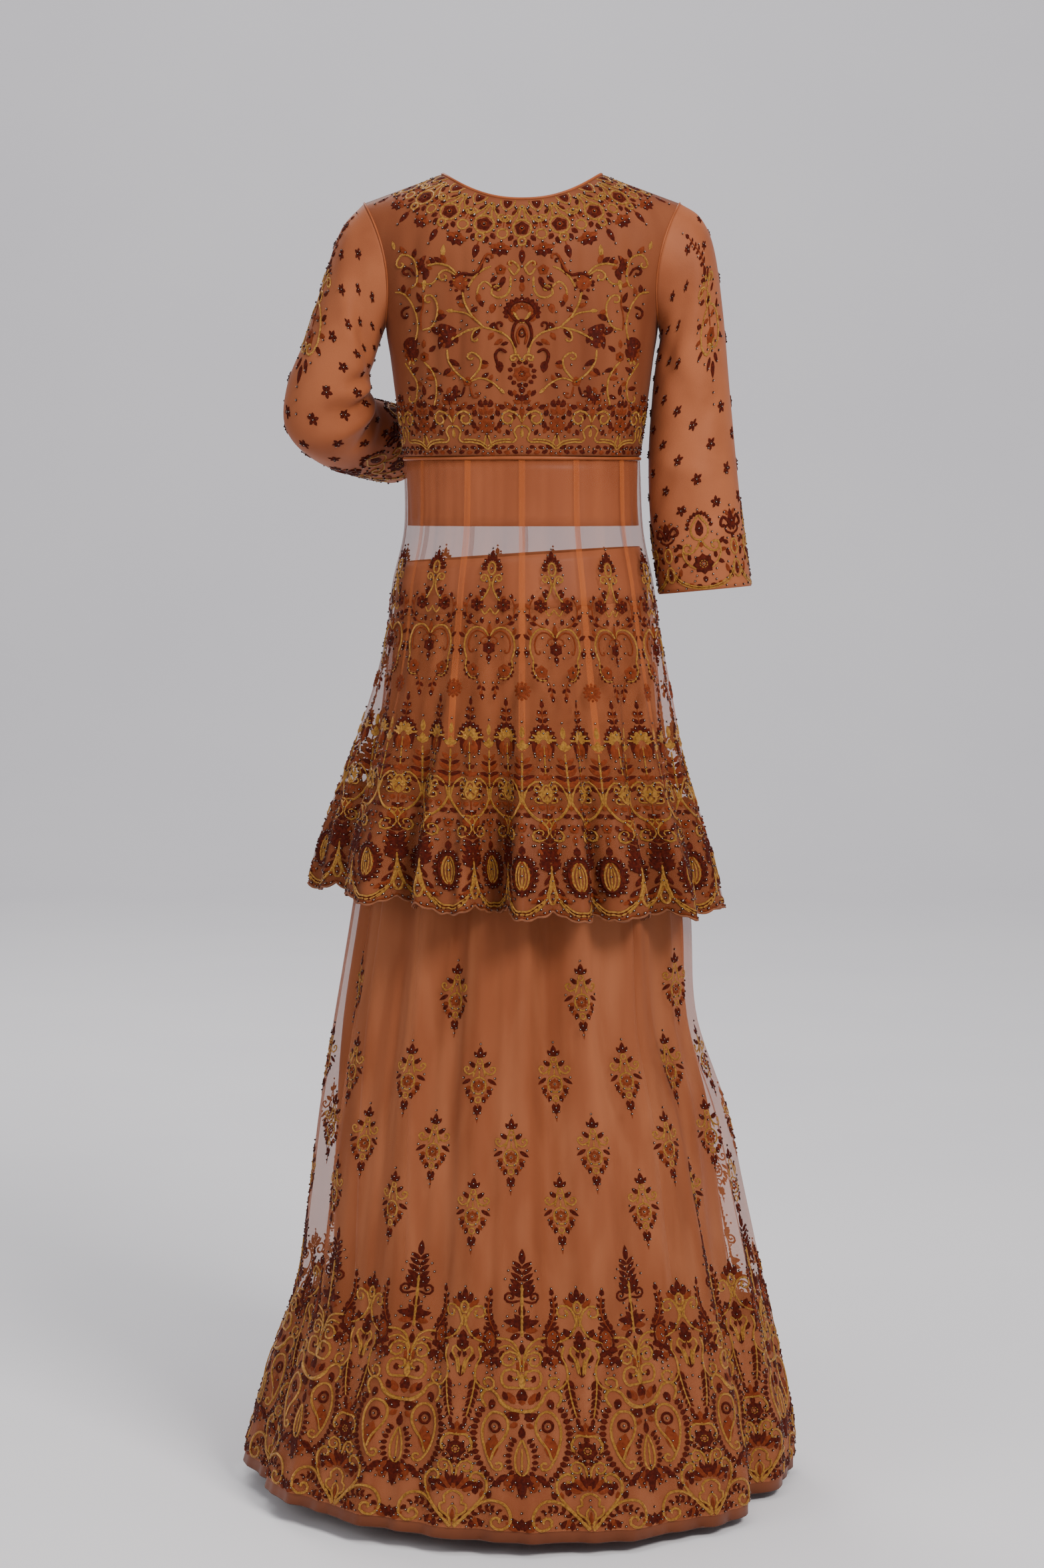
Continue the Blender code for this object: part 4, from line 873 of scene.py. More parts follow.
# Peplum, lower part: the medallion over each lobe of the hem and the tree above it
MEDALLION = Design(
    whole=[
        Loop(MAROON, 4.0, 0, 48, 19, 34),
        Fan(MAROON, 0, 48, 20, 35, 0, 342, 20, 6, 4.2),
        Fan(RUST, 0, 48, 12, 24, 0, 330, 12, 4, 3),
        Stem(GOLD, 1.8, [(0, 34), (0, 61)]),
        Leaves([(MAROON, 0, 70, 90, 11, 5.5), (RUST, 0, 84, 90, 10, 4.5)]),
        Stem(GOLD, 2.4, [(0, 127), (0, 182)]),
        Leaves([(RUST, 0, 120, 90, 9, 4.5), (GOLD, 0, 184, 90, 13, 6), (GOLD, 0, 198, 90, 14, 4.5)]),
        Bloom(RUST, 0, 100, 10, 5),
        Stem(GOLD, 2.6, [(-30, 38), (-25, 25), (-17, 16), (-8, 11), (0, 9.5), (8, 11), (17, 16),
                         (25, 25),
                         (30, 38)]),
        Stem(GOLD, 2.6, [(-29, 32), (-23, 20), (-15, 12), (-7, 7.5), (0, 6.5), (7, 7.5), (15, 12),
                         (23, 20),
                         (29, 32)]),
        Beads([(0, 216), (0, 48), (0, 58), (0, 90), (0, 112), (0, 140), (0, 156), (0, 172), (0, 84)]),
    ],
    half=[
        Halo(0, 48, 26, 41, -80, 80, 8),
        Stem(GOLD, 2.2, [(0.5, 31), (5, 38), (6.2, 48), (4, 58), (0.5, 65)]),
        Stem(GOLD, 1.6, [(0.5, 33), (2.6, 41), (3.0, 50), (1.4, 58)]),
        Leaves([(MAROON, 14, 24, 36, 13, 4.4), (RUST, 8, 18, 20, 12, 4), (MAROON, 20, 34, 60, 12, 4.4),
                (MAROON, 22, 60, 74, 13, 5), (RUST, 18, 68, 110, 9, 4)]),
        Fan(MAROON, 0, 47, 54, 74, -86, -34, 8, 5.5, 3.6),
        Stem(GOLD, 2.8, [(0.5, 131), (4, 122), (11, 112), (19, 105), (24, 97)], (9.2, -430)),
        Stem(GOLD, 2.4, [(15, 108), (23, 107), (29, 100)]),
        Stem(GOLD, 2.8, [(0.5, 124), (3, 138), (8, 147)], (7.6, -400)),
        Leaves([(MAROON, 20, 96, -70, 9, 4), (RUST, 17, 103, 60, 9, 4), (MAROON, 8, 104, -60, 9, 4)]),
        Bloom(RUST, 10, 121, 8, 5),
        Leaves([(RUST, 0.5, 146, 34, 15, 5.5), (MAROON, 0.5, 141, 14, 14, 4.6),
                (RUST, 0.5, 158, 38, 14, 5), (MAROON, 0.5, 153, 18, 13, 4.4),
                (RUST, 0.5, 170, 42, 11, 4.4), (MAROON, 0.5, 165, 24, 11, 4),
                (GOLD, 0.5, 186, 42, 9, 4), (MAROON, 1, 116, -30, 9, 4)]),
        Beads([(14, 88), (15, 94), (22, 86), (6, 92), (14, 138), (19, 146), (15, 155), (16, 166),
               (13, 178),
               (7, 192), (9, 132), (16, 116), (24, 112), (4, 104), (24, 46), (25, 74), (18, 76), (12, 80)]),
        Beads([(4, 3), (10, 5), (16, 9), (22, 14), (27, 22), (7, 22), (14, 19), (20, 28), (11, 30)]),
    ],
)

# Bodice border, y up from the waist seam, about the middle of a keyhole arch
ARCH = Design(
    whole=[
        Leaves([(GOLD, 0, 20, 90, 11, 3.6), (RUST, 0, 44, 90, 13, 5)]),
        Stem(RUST, 1.8, [(0, 36), (0, 66)]),
        Leaf(MAROON, 0, 60, 90, 10, 5),
        Beads([(0, 70), (0, 33), (0, 54), (0, 10), (0, 5)]),
    ],
    half=[
        Stem(GOLD, 2.6, [(38, 7), (31, 13), (20, 15.5), (10, 15.5), (6, 20), (9, 27), (5, 33), (0, 34)]),
        Stem(GOLD, 2.4, [(38, 10.5), (31, 16.5), (20, 18.5), (12, 18.5)]),
        Stem(GOLD, 2.6, [(34, 12), (36, 18), (38.4, 24)]),
        Stem(GOLD, 3.0, [(0.5, 38), (3, 44), (9, 49)], (9.0, -430)),
        Leaves([(MAROON, 10, 40, 100, 8, 4), (MAROON, 1, 62, 48, 11, 5), (RUST, 1, 59, 20, 10, 4.6),
                (MAROON, 4, 52, 10, 10, 4), (RUST, 11, 53, 40, 12, 5), (MAROON, 18, 54, 10, 11, 5),
                (RUST, 25, 50, 60, 11, 4.6), (MAROON, 26, 44, 70, 9, 5), (MAROON, 26, 30, 100, 10, 5),
                (RUST, 24, 25, 60, 8, 4), (MAROON, 14, 23, 60, 8, 4), (MAROON, 34, 55, 76, 9, 5),
                (MAROON, 4, 3, 20, 8, 4), (RUST, 13, 3, 10, 8, 4), (MAROON, 22, 3, 20, 8, 4),
                (RUST, 30, 2, 10, 7, 4), (MAROON, 18, 10, -10, 8, 3.6), (MAROON, 8, 10, 0, 7, 3.6)]),
        Beads([(6, 8), (15, 8), (24, 9), (33, 5), (28, 8), (20, 24), (30, 22), (13, 34), (21, 36),
               (24, 40),
               (16, 58), (8, 57), (28, 57), (22, 47), (6, 64), (32, 46), (12, 29), (5, 46)]),
    ],
)

# Bodice border, the flower over each point between two arches
POINT_FLOWER = Design(
    whole=[
        Bloom(RUST, 0, 34, 20, 5),
        Fan(MAROON, 0, 34, 17, 17, 54, 414, 6, 5.5, 4.4),
        Leaves([(RUST, 0, 46, 90, 12, 5), (MAROON, 0, 56, 90, 8, 4.6)]),
        Beads([(0, 34), (0, 44), (0, 25), (-7, 37), (7, 37), (-5, 28), (5, 28), (0, 66), (0, 3)]),
    ],
    half=[
        Leaves([(RUST, 2, 46, 48, 10, 4.6), (MAROON, 2, 55, 38, 8, 4), (MAROON, 4, 8, 26, 9, 4)]),
    ],
)

# Bodice, back and front: y up from the waist seam, x from the middle
LYRE = Design(
    whole=[
        Loop(MAROON, 4.6, 0, 171, 27, 24),
        Fan(MAROON, 0, 170, 28, 24, -20, 200, 13, 6.5, 4.8),
        Fan(RUST, 0, 168, 12, 10, 0, 180, 9, 8, 4),
        Stem(MAROON, 4.2, [(-6, 128), (-10, 142), (-7, 156), (0, 160), (7, 156), (10, 142), (6, 128)]),
        Stem(RUST, 3.4, [(-3, 132), (-5, 144), (0, 153), (5, 144), (3, 132)]),
        Leaves([(RUST, 0, 193, 90, 13, 5), (MAROON, 0, 203, 90, 11, 4.6)]),
        Bloom(RUST, 0, 97, 20, 7, MAROON),
        Fan(MAROON, 0, 97, 20, 22, -160, 160, 12, 6, 4.6),
        Leaf(MAROON, 0, 82, -90, 9, 6),
        Stem(RUST, 1.8, [(0, 78), (0, 62)]),
        Loop(MAROON, 2.4, 0, 145, 6, 9),
        Beads([(0, 145), (0, 176), (0, 184), (0, 209), (0, 97), (0, 114), (0, 86), (0, 80), (0, 190)]),
    ],
    half=[
        Stem(GOLD, 3.8, [(0.5, 157), (4, 161), (9, 170)]),
        Leaf(RUST, 9, 158, 60, 12, 5),
        Stem(GOLD, 3.0, [(6, 118), (8, 128), (12, 137), (22, 146), (40, 152)]),
        Stem(GOLD, 3.2, [(1, 112), (4, 119), (9, 119)], (3.6, -330)),
        Leaf(GOLD, 2, 114, 200, 6, 3.4),
        Stem(MAROON, 4.2, [(16, 122), (23, 126), (28, 120), (26, 110), (23, 106)]),
        Leaf(MAROON, 24, 112, -96, 14, 7),
        Stem(GOLD, 3.0, [(40, 152), (55, 149), (66, 144), (76, 137)]),
        Leaves([(GOLD, 70, 142, -30, 9, 4.4), (MAROON, 34, 150, 124, 10, 4.6)]),
        Stem(MAROON, 3.2, [(24, 146), (27, 152)], (4.4, 300)),
        Leaf(MAROON, 44, 151, -56, 15, 5),
        Stem(GOLD, 2.6, [(44, 151), (51, 147), (53, 140)], (4.2, -230)),
        Leaves([(RUST, 30, 146, -60, 11, 5), (RUST, 20, 138, -36, 12, 4.4),
                (MAROON, 14, 134, -20, 9, 4)]),
        Stem(GOLD, 3.0, [(40, 152), (52, 165), (60, 180), (63, 194)]),
        Stem(GOLD, 2.4, [(46, 158), (58, 168), (70, 171), (80, 172)]),
        Leaves([(GOLD, 72, 172, 0, 9, 4), (MAROON, 54, 170, 140, 10, 4.6), (RUST, 60, 176, 28, 10, 4.6),
                (MAROON, 62, 190, -30, 10, 4.6), (RUST, 50, 160, 70, 9, 4)]),
        Beads([(30, 152), (36, 158), (47, 146), (58, 155), (64, 160), (52, 178), (68, 182), (56, 188)]),
        Pad(RUST, [(64, 196), (71, 200), (73, 209), (68, 217), (60, 215), (57, 206), (59, 199)]),
        Fan(MAROON, 65, 206, 15, 18, 0, 340, 9, 4.5, 3.6),
        Fan(GOLD, 65, 204, 5, 6, 30, 150, 5, 7, 3),
        Beads([(65, 204), (60, 212), (71, 211), (66, 217), (56, 197), (75, 197)]),
        Stem(GOLD, 3.0, [(69, 216), (76, 224), (88, 228), (100, 226)]),
        Stem(GOLD, 2.8, [(70, 214), (78, 220), (84, 219)], (6.2, -330)),
        Leaves([(GOLD, 83, 236, 96, 15, 4.4), (RUST, 80, 228, 70, 13, 5), (MAROON, 84, 229, 40, 11, 5),
                (MAROON, 92, 227, 60, 11, 5)]),
        Pad(MAROON, [(98, 218), (107, 216), (113, 224), (109, 234), (101, 238), (104, 228)]),
        Fan(RUST, 105, 226, 8, 10, -60, 200, 6, 7, 4),
        Leaf(MAROON, 100, 222, -70, 15, 6),
        Stem(GOLD, 2.6, [(88, 214), (94, 206), (100, 204), (108, 206)]),
        Leaf(GOLD, 104, 210, -80, 14, 4),
        Stem(MAROON, 4.2, [(72, 210), (62, 216), (52, 214), (44, 218)]),
        Stem(GOLD, 2.8, [(56, 200), (49, 212), (40, 220), (32, 224)]),
        Stem(RUST, 3.6, [(49, 213), (42, 226), (38, 236)], (4.6, 240)),
        Stem(MAROON, 3.0, [(46, 214), (42, 222), (41, 230)], (4.0, 260)),
        Beads([(112, 230), (106, 218), (96, 234), (80, 208), (90, 210), (44, 228), (50, 219),
               (36, 230)]),
        Bloom(RUST, 22, 220, 13, 5),
        Leaves([(MAROON, 18, 212, -70, 14, 5), (MAROON, 26, 213, -50, 11, 4.6),
                (RUST, 16, 226, 150, 8, 4)]),
        Beads([(22, 220), (27, 212), (12, 200), (24, 203), (7, 208), (30, 215)]),
        Stem(GOLD, 3.0, [(14, 222), (8, 214), (3, 222), (8, 229)], (3.6, -260)),
        Stem(GOLD, 3.0, [(12, 212), (12, 200), (16, 190), (25, 187), (32, 192), (30, 199)], (4.2, 300)),
        Stem(GOLD, 2.6, [(30, 198), (38, 206), (45, 200), (47, 190)]),
        Leaves([(RUST, 46, 192, -96, 12, 5), (MAROON, 44, 184, -110, 9, 4.6),
                (RUST, 30, 180, -80, 12, 6)]),
        Stem(MAROON, 3.4, [(20, 203), (24, 198)], (4.2, 280)),
        Beads([(28, 178), (40, 182), (36, 170), (48, 172), (40, 198), (16, 184), (22, 178), (10, 190)]),
        Pad(MAROON, [(70, 150), (78, 155), (90, 156), (88, 142), (82, 128), (74, 132)]),
        Fan(RUST, 80, 141, 8, 12, -70, 90, 5, 8, 5),
        Leaves([(MAROON, 74, 146, -110, 14, 6), (MAROON, 86, 146, -80, 20, 7)]),
        Beads([(80, 141), (84, 150), (76, 150), (88, 134), (74, 132), (92, 148), (66, 150), (94, 160)]),
        Stem(GOLD, 2.8, [(80, 126), (78, 112), (70, 99), (60, 90), (54, 87)]),
        Leaves([(MAROON, 79, 114, 210, 15, 5.5), (RUST, 70, 99, -20, 12, 4.6),
                (MAROON, 76, 104, -46, 12, 5)]),
        Bloom(RUST, 57, 88, 12, 5),
        Stem(GOLD, 2.6, [(54, 88), (42, 92), (30, 86), (19, 74)]),
        Leaves([(GOLD, 24, 80, 226, 9, 3.4), (MAROON, 42, 92, 140, 10, 4.4), (RUST, 34, 88, 110, 9, 4),
                (MAROON, 30, 86, -40, 10, 4.4)]),
        Stem(GOLD, 2.8, [(54, 90), (45, 102), (43, 114), (49, 121)], (5.4, -330)),
        Leaves([(RUST, 44, 104, 160, 10, 4.6), (MAROON, 43, 112, 200, 9, 4)]),
        Beads([(57, 88), (48, 84), (38, 96), (26, 90), (52, 108), (64, 92), (66, 104), (72, 92),
               (36, 82)]),
        Stem(MAROON, 3.2, [(60, 82), (62, 74)], (4.6, 330)),
        Stem(RUST, 2.6, [(54, 82), (52, 72)], (4.2, -330)),
        Leaves([(MAROON, 70, 84, -80, 13, 5), (RUST, 76, 82, -70, 11, 4.6)]),
        Beads([(54, 72), (64, 72), (74, 76), (70, 66), (44, 74), (80, 72)]),
        Stem(GOLD, 2.8, [(110, 150), (100, 153), (93, 164), (91, 178), (95, 188)], (6.4, -320)),
        Leaves([(MAROON, 94, 162, 160, 15, 6), (RUST, 92, 172, 196, 10, 5),
                (MAROON, 100, 153, 220, 15, 6)]),
        Stem(RUST, 2.4, [(112, 150), (112, 166), (108, 180), (108, 192)]),
        Leaf(MAROON, 110, 182, 70, 14, 5),
        Beads([(98, 160), (92, 190), (104, 172), (114, 158), (102, 148), (92, 152), (98, 202),
               (106, 196)]),
        Stem(GOLD, 2.8, [(122, 200), (114, 206), (113, 222), (119, 236), (130, 240),
                         (137, 232)], (5.2, -300)),
        Leaves([(GOLD, 139, 246, 80, 11, 4), (MAROON, 118, 236, 108, 12, 5),
                (MAROON, 113, 222, 150, 12, 5)]),
        Stem(MAROON, 3.8, [(116, 214), (122, 222)], (5.6, -320)),
        Leaves([(RUST, 126, 240, 60, 12, 5), (RUST, 116, 206, 210, 11, 4.6)]),
        Beads([(126, 243), (112, 214), (120, 229), (133, 244), (124, 214), (118, 203), (128, 226)]),
        Stem(GOLD, 2.8, [(144, 196), (134, 194), (124, 184), (118, 168), (117, 152), (122, 138)]),
        Stem(MAROON, 3.8, [(126, 178), (134, 176)], (6.4, -320)),
        Leaves([(RUST, 128, 190, 110, 12, 5), (MAROON, 120, 172, 150, 12, 5),
                (MAROON, 134, 194, 100, 11, 5)]),
        Beads([(124, 192), (138, 199), (116, 176), (130, 168), (122, 158), (138, 182), (128, 150)]),
        Pad(MAROON, [(118, 140), (130, 142), (140, 134), (134, 122), (128, 112), (122, 124)]),
        Fan(RUST, 128, 124, 8, 10, -100, 60, 5, 8, 5),
        Fan(GOLD, 128, 118, 4, 6, 200, 340, 4, 7, 3),
        Leaf(MAROON, 118, 128, -60, 18, 6),
        Beads([(128, 130), (122, 114), (134, 116), (128, 106), (140, 126), (116, 134)]),
        Bloom(RUST, 109, 118, 13, 6),
        Leaves([(MAROON, 103, 124, 140, 11, 5), (RUST, 110, 128, 96, 11, 5)]),
        Stem(GOLD, 2.6, [(109, 112), (101, 104), (95, 92), (93, 78), (96, 60)]),
        Leaves([(MAROON, 101, 104, 200, 12, 4.6), (RUST, 95, 92, 4, 12, 4.6),
                (MAROON, 93, 82, 214, 11, 4.6), (MAROON, 94, 72, -20, 11, 4.6),
                (RUST, 98, 98, 40, 10, 4)]),
        Beads([(109, 118), (104, 98), (88, 98), (101, 84), (87, 84), (99, 70), (90, 66),
               (106, 88), (88, 74)]),
        Stem(GOLD, 2.6, [(138, 112), (128, 100), (120, 86), (121, 70)], (6.8, 260)),
        Leaves([(MAROON, 128, 100, 150, 12, 4.6), (RUST, 121, 88, 200, 11, 4.6),
                (MAROON, 122, 80, 10, 12, 4.6)]),
        Beads([(124, 98), (112, 92), (132, 88), (116, 78), (134, 76), (126, 64), (112, 72), (108, 64)]),
        Leaves([(MAROON, 108, 72, 80, 13, 5), (RUST, 84, 62, 100, 11, 4.6),
                (MAROON, 76, 60, 80, 9, 4.4), (MAROON, 14, 78, -120, 9, 4.4),
                (RUST, 8, 78, -100, 8, 4)]),
    ],
)

# Collar, hanging from the neck's edge: y is down from it
WHEEL = Design(
    whole=[
        Loop(GOLD, 2.6, 0, -37, 19, 19),
        Bloom(MAROON, 0, -37, 16, 5),
        Loop(RUST, 1.8, 0, -37, 5, 5),
        Loop(GOLD, 2.4, 0, -51, 8, 8),
        Stem(RUST, 1.6, [(0, -56), (0, -62)]),
        Leaf(MAROON, 0, -59, -90, 15, 5.5),
        Loop(GOLD, 2.0, 0, -12, 5, 5),
        Beads([(0, -37), (0, -51), (0, -66), (0, -76), (0, -12), (0, -24)]),
    ],
    half=[
        Stem(GOLD, 2.4, [(0.5, -10), (2.4, -18), (4, -26), (8, -30)]),
        Stem(GOLD, 2.0, [(3, -12), (6, -20), (11, -26), (15, -30)], (2.6, 220)),
        Leaves([(MAROON, 4, -16, -40, 9, 4.4), (MAROON, 9, -45, -50, 8, 4.4),
                (RUST, 10, -34, -10, 7, 3.6), (MAROON, 6, -49, -80, 8, 4)]),
        Beads([(11, -42), (12, -30), (6, -14), (5, -56), (13, -37)]),
    ],
)
LOTUS_DROP = Design(
    whole=[
        Stem(RUST, 1.2, [(0, -20), (0, -38)]),
        Loop(GOLD, 2.4, 0, -44, 10, 10),
        Bloom(RUST, 0, -58, 11, 5, None, -90),
        Leaf(MAROON, 0, -58, -90, 10, 6),
        Loop(GOLD, 2.0, 0, -26, 5, 5),
        Beads([(0, -26), (0, -62), (0, -52), (0, -18)]),
    ],
    half=[
        Leaves([(MAROON, 1, -59, -48, 9, 5), (RUST, 1, -57, -14, 10, 4.6)]),
        Stem(GOLD, 2.0, [(2, -22), (6, -24)], (2.8, -300)),
        Leaf(MAROON, 2, -30, -40, 7, 3.6),
        Beads([(7, -62), (10, -56), (6, -31)]),
    ],
)
SHIELD = Design(
    whole=[
        Pad(MAROON, [(-4.5, -4), (4.5, -4), (3.6, -10), (0, -14), (-3.6, -10)]),
        Stem(GOLD, 2.2, [(-7.5, -3), (-6.5, -10), (0, -17), (6.5, -10), (7.5, -3)]),
        Beads([(0, -8)]),
    ],
    half=[Beads([(9, -12)])],
)

# Sleeves: the small flower, the tall scroll of the outer side, and the two cells of the cuff
STAR = Design(
    whole=[Fan(MAROON, 0, 0, 1.6, 1.6, 90, 378, 5, 6.2, 3.4), Beads([(0, 0), (3, 4)])],
    half=[],
)
SCROLL = Design(
    whole=[
        Leaf(MAROON, 0, 56, 90, 14, 6),
        Fan(GOLD, 0, 44, 7, 9, 10, 170, 5, 10, 4),
        Loop(GOLD, 2.4, 0, 26, 10, 12),
        Bloom(MAROON, 0, 26, 8, 5),
        Stem(GOLD, 2.6, [(0, 33), (0, 42)]),
        Bloom(RUST, 0, -14, 18, 6),
        Leaf(MAROON, 0, -40, -90, 18, 6),
        Stem(RUST, 2.0, [(0, 18), (0, -4)]),
        Frond(MAROON, [(0, 70), (1, 90), (-1, 108), (0, 124)], 5, 9, 4.6, 44, (1.8, RUST)),
        Beads([(0, 72), (0, 50), (0, 26), (0, -14), (0, -60), (0, 8), (0, -30), (0, -26), (5, 84),
               (-5, 92),
               (5, 102), (-4, 112), (0, 138), (0, -72), (0, -84)]),
    ],
    half=[
        Stem(GOLD, 3.0, [(1, 20), (10, 14), (17, 2), (18, -14), (13, -26)], (7.0, -300)),
        Stem(GOLD, 2.8, [(2, 40), (8, 48)], (6.2, -400)),
        Leaves([(MAROON, 2, 50, 50, 13, 5), (RUST, 6, 44, 10, 10, 4.6), (MAROON, 8, 30, 30, 11, 5),
                (MAROON, 17, 6, 50, 11, 5), (RUST, 18, -8, 10, 10, 4.6), (MAROON, 16, -20, -30, 11, 5),
                (MAROON, 4, -34, -64, 14, 5), (RUST, 2, 4, 20, 11, 4.6)]),
        Beads([(14, 56), (18, 38), (22, 20), (24, 6), (26, -10), (24, -26), (14, -36), (8, -44), (6, 62),
               (10, 4), (10, -8), (8, -24)]),
    ],
)
ONION = Design(
    whole=[
        Stem(GOLD, 2.6, [(0, 88), (-5, 81), (-10, 73), (-8, 63), (0, 59), (8, 63), (10, 73),
                         (5, 81), (0, 88)]),
        Leaf(MAROON, 0, 63, 90, 19, 8),
        Fan(MAROON, 0, 73, 23, 28, 5, 175, 11, 5.5, 4),
        Bloom(MAROON, 0, 31, 25, 8, GOLD),
        Fan(GOLD, 0, 31, 6, 6, 0, 315, 8, 4.5, 2.6),
        Leaves([(RUST, 0, 50, 90, 9, 5), (MAROON, 0, 17, -90, 8, 5)]),
        Beads([(0, 31), (0, 72), (0, 94), (0, 57), (0, 46), (0, 12)]),
    ],
    half=[
        Stem(GOLD, 2.8, [(0.5, 60), (4, 52), (10, 46)], (7.2, 420)),
        Stem(GOLD, 2.4, [(20, 56), (22, 44), (17, 33), (9, 26)]),
        Leaves([(MAROON, 21, 52, 40, 10, 4.4), (RUST, 21, 44, 10, 9, 4), (MAROON, 17, 34, -30, 9, 4.4),
                (MAROON, 15, 36, 90, 9, 4), (MAROON, 4, 5, 14, 8, 4), (RUST, 13, 6, 24, 8, 4)]),
        Beads([(12, 84), (15, 76), (14, 66), (12, 54), (20, 62), (14, 24), (9, 18), (8, 40), (12, 12)]),
    ],
)
FLEUR = Design(
    whole=[
        Leaves([(MAROON, 0, 66, 90, 21, 8), (MAROON, 0, 62, -90, 9, 5)]),
        Loop(GOLD, 2.4, 0, 46, 10, 17),
        Loop(GOLD, 2.4, 0, 22, 11, 19),
        Leaves([(RUST, 0, 40, 90, 12, 4.4), (MAROON, 0, 15, 90, 14, 4.6)]),
        Beads([(0, 90), (0, 74), (0, 57), (0, 46), (0, 34), (0, 22)]),
    ],
    half=[
        Stem(MAROON, 4.4, [(2, 64), (5, 74), (11, 79), (15, 74)], (3.4, -220)),
        Stem(MAROON, 3.2, [(1, 60), (7, 62)], (4.4, 300)),
        Leaf(RUST, 3, 80, 50, 8, 4),
        Stem(GOLD, 2.8, [(3, 27), (8, 19), (14, 12.5), (24, 7.5), (33, 5), (42, 4)]),
        Stem(GOLD, 2.2, [(4, 22), (9, 14), (16, 8), (26, 4), (34, 2.5), (42, 2)]),
        Leaves([(MAROON, 7, 12, 60, 11, 4.4), (RUST, 12, 18, 74, 11, 4.4), (MAROON, 8, 36, 60, 10, 4.4),
                (MAROON, 8, 50, 30, 9, 4.4)]),
        Beads([(9, 84), (16, 80), (10, 66), (9, 56), (10, 44), (12, 30), (16, 12), (8, 24),
               (7, 3), (18, 4)]),
    ],
)


def smooth(table, key, name):
    """A column of a table read at many keys, on a smooth curve through its rows."""
    keys = np.array([row[0] for row in table], float)
    values = np.array([getattr(row, name) for row in table], float)
    if keys[0] > keys[-1]:
        keys, values = keys[::-1], values[::-1]
    flat = values.ndim == 1
    values = values.reshape(len(keys), -1)
    slopes = np.empty_like(values)
    slopes[1:-1] = (values[2:] - values[:-2]) / (keys[2:] - keys[:-2])[:, None]
    slopes[0] = (values[1] - values[0]) / (keys[1] - keys[0])
    slopes[-1] = (values[-1] - values[-2]) / (keys[-1] - keys[-2])
    key = np.clip(np.asarray(key, float), keys[0], keys[-1])
    index = np.clip(np.searchsorted(keys, key, side="right") - 1, 0, len(keys) - 2)
    span = (keys[index + 1] - keys[index])[..., None]
    share = (key - keys[index])[..., None] / span
    found = (values[index] * (1 + 2 * share) * (1 - share) ** 2
             + values[index + 1] * share ** 2 * (3 - 2 * share)
             + span * (slopes[index] * share * (1 - share) ** 2
                       - slopes[index + 1] * share ** 2 * (1 - share)))
    return found[..., 0] if flat else found


def fold_depth(folds, angle, share):
    """How far the folds draw a hanging piece in, or the ridges let it out."""
    depth = np.zeros(np.broadcast(angle, share).shape)
    for fold in folds:
        middle = fold.top_angle + (fold.hem_angle - fold.top_angle) * share
        apart = np.abs((angle - middle + 180.0) % 360.0 - 180.0) / fold.half_width
        down = (fold.top * (1 - share) * (1 - 2 * share) + fold.middle * 4 * share * (1 - share)
                + fold.hem * share * (2 * share - 1))
        valley = 0.5 + 0.5 * np.cos(math.pi * np.minimum(apart, 1.0))
        sign = 1.0 if fold.hem >= 0.0 else -1.0
        depth += sign * np.maximum(sign * down, 0.0) * valley
    return depth


def ripple_depth(ripples, angle, share):
    """Small soft folds that wander a little on their way down."""
    depth = np.zeros(np.broadcast(angle, share).shape)
    for ripple in ripples:
        wander = (WANDER_DOWN.far * np.sin(WANDER_DOWN.waves * share + ripple.phase)
                  + WANDER_ROUND.far * np.sin(np.radians(angle * WANDER_ROUND.waves) + ripple.phase))
        swell = ripple.top + (ripple.hem - ripple.top) * share
        depth += swell * np.sin(np.radians(angle * ripple.waves + wander * WANDER_PULL
                                           + ripple.phase * PHASE_TURN))
    return depth


def stack(x, y, z):
    """Three arrays as one of points."""
    return np.stack(np.broadcast_arrays(x, y, z), axis=-1)


def girth(table, angle, z, inward=0.0):
    """Points of a girth at angles and heights, moved inward."""
    turn = np.radians(angle)
    side = np.where(np.sin(turn) > 0.0, smooth(table, z, "right"), smooth(table, z, "left"))
    face = np.where(np.cos(turn) > 0.0, smooth(table, z, "back"), smooth(table, z, "front"))
    across, along = -np.sin(turn) * side, np.cos(turn) * face
    keep = 1.0 - inward / np.hypot(across, along)
    return stack(across * keep, along * keep, z)


def tilt(angle):
    """One on the wearer's right, minus one on the left."""
    return np.sin(np.radians(angle))


def between(high, low, share):
    """A value at a share of the way down."""
    return high + (low - high) * share


def peplum_at(angle, share, inward=0.0, cloth_angle=None):
    """The peplum's net, with its scalloped hem, cut evenly along the cloth."""
    cut = np.radians(angle if cloth_angle is None else cloth_angle)
    lobe = SCALLOP_DEPTH * (1.0 - np.abs(np.cos(cut * SCALLOPS / 2))) * share ** SCALLOP_RISE
    bite = SMALL_SCALLOP_DEPTH * np.abs(np.sin(cut * SMALL_SCALLOPS / 2)) * share ** SMALL_SCALLOP_RISE
    hem = PEPLUM_HEM_Z - PEPLUM_HEM_TILT * tilt(angle) + lobe - bite
    z = between(PEPLUM_TOP_Z, hem, share)
    drawn_in = (fold_depth(PEPLUM_FOLDS, angle, share) + fold_depth(PEPLUM_CREASES, angle, share)
                + ripple_depth(PEPLUM_RIPPLES, angle, share))
    return girth(PEPLUM, angle, z, drawn_in + inward)


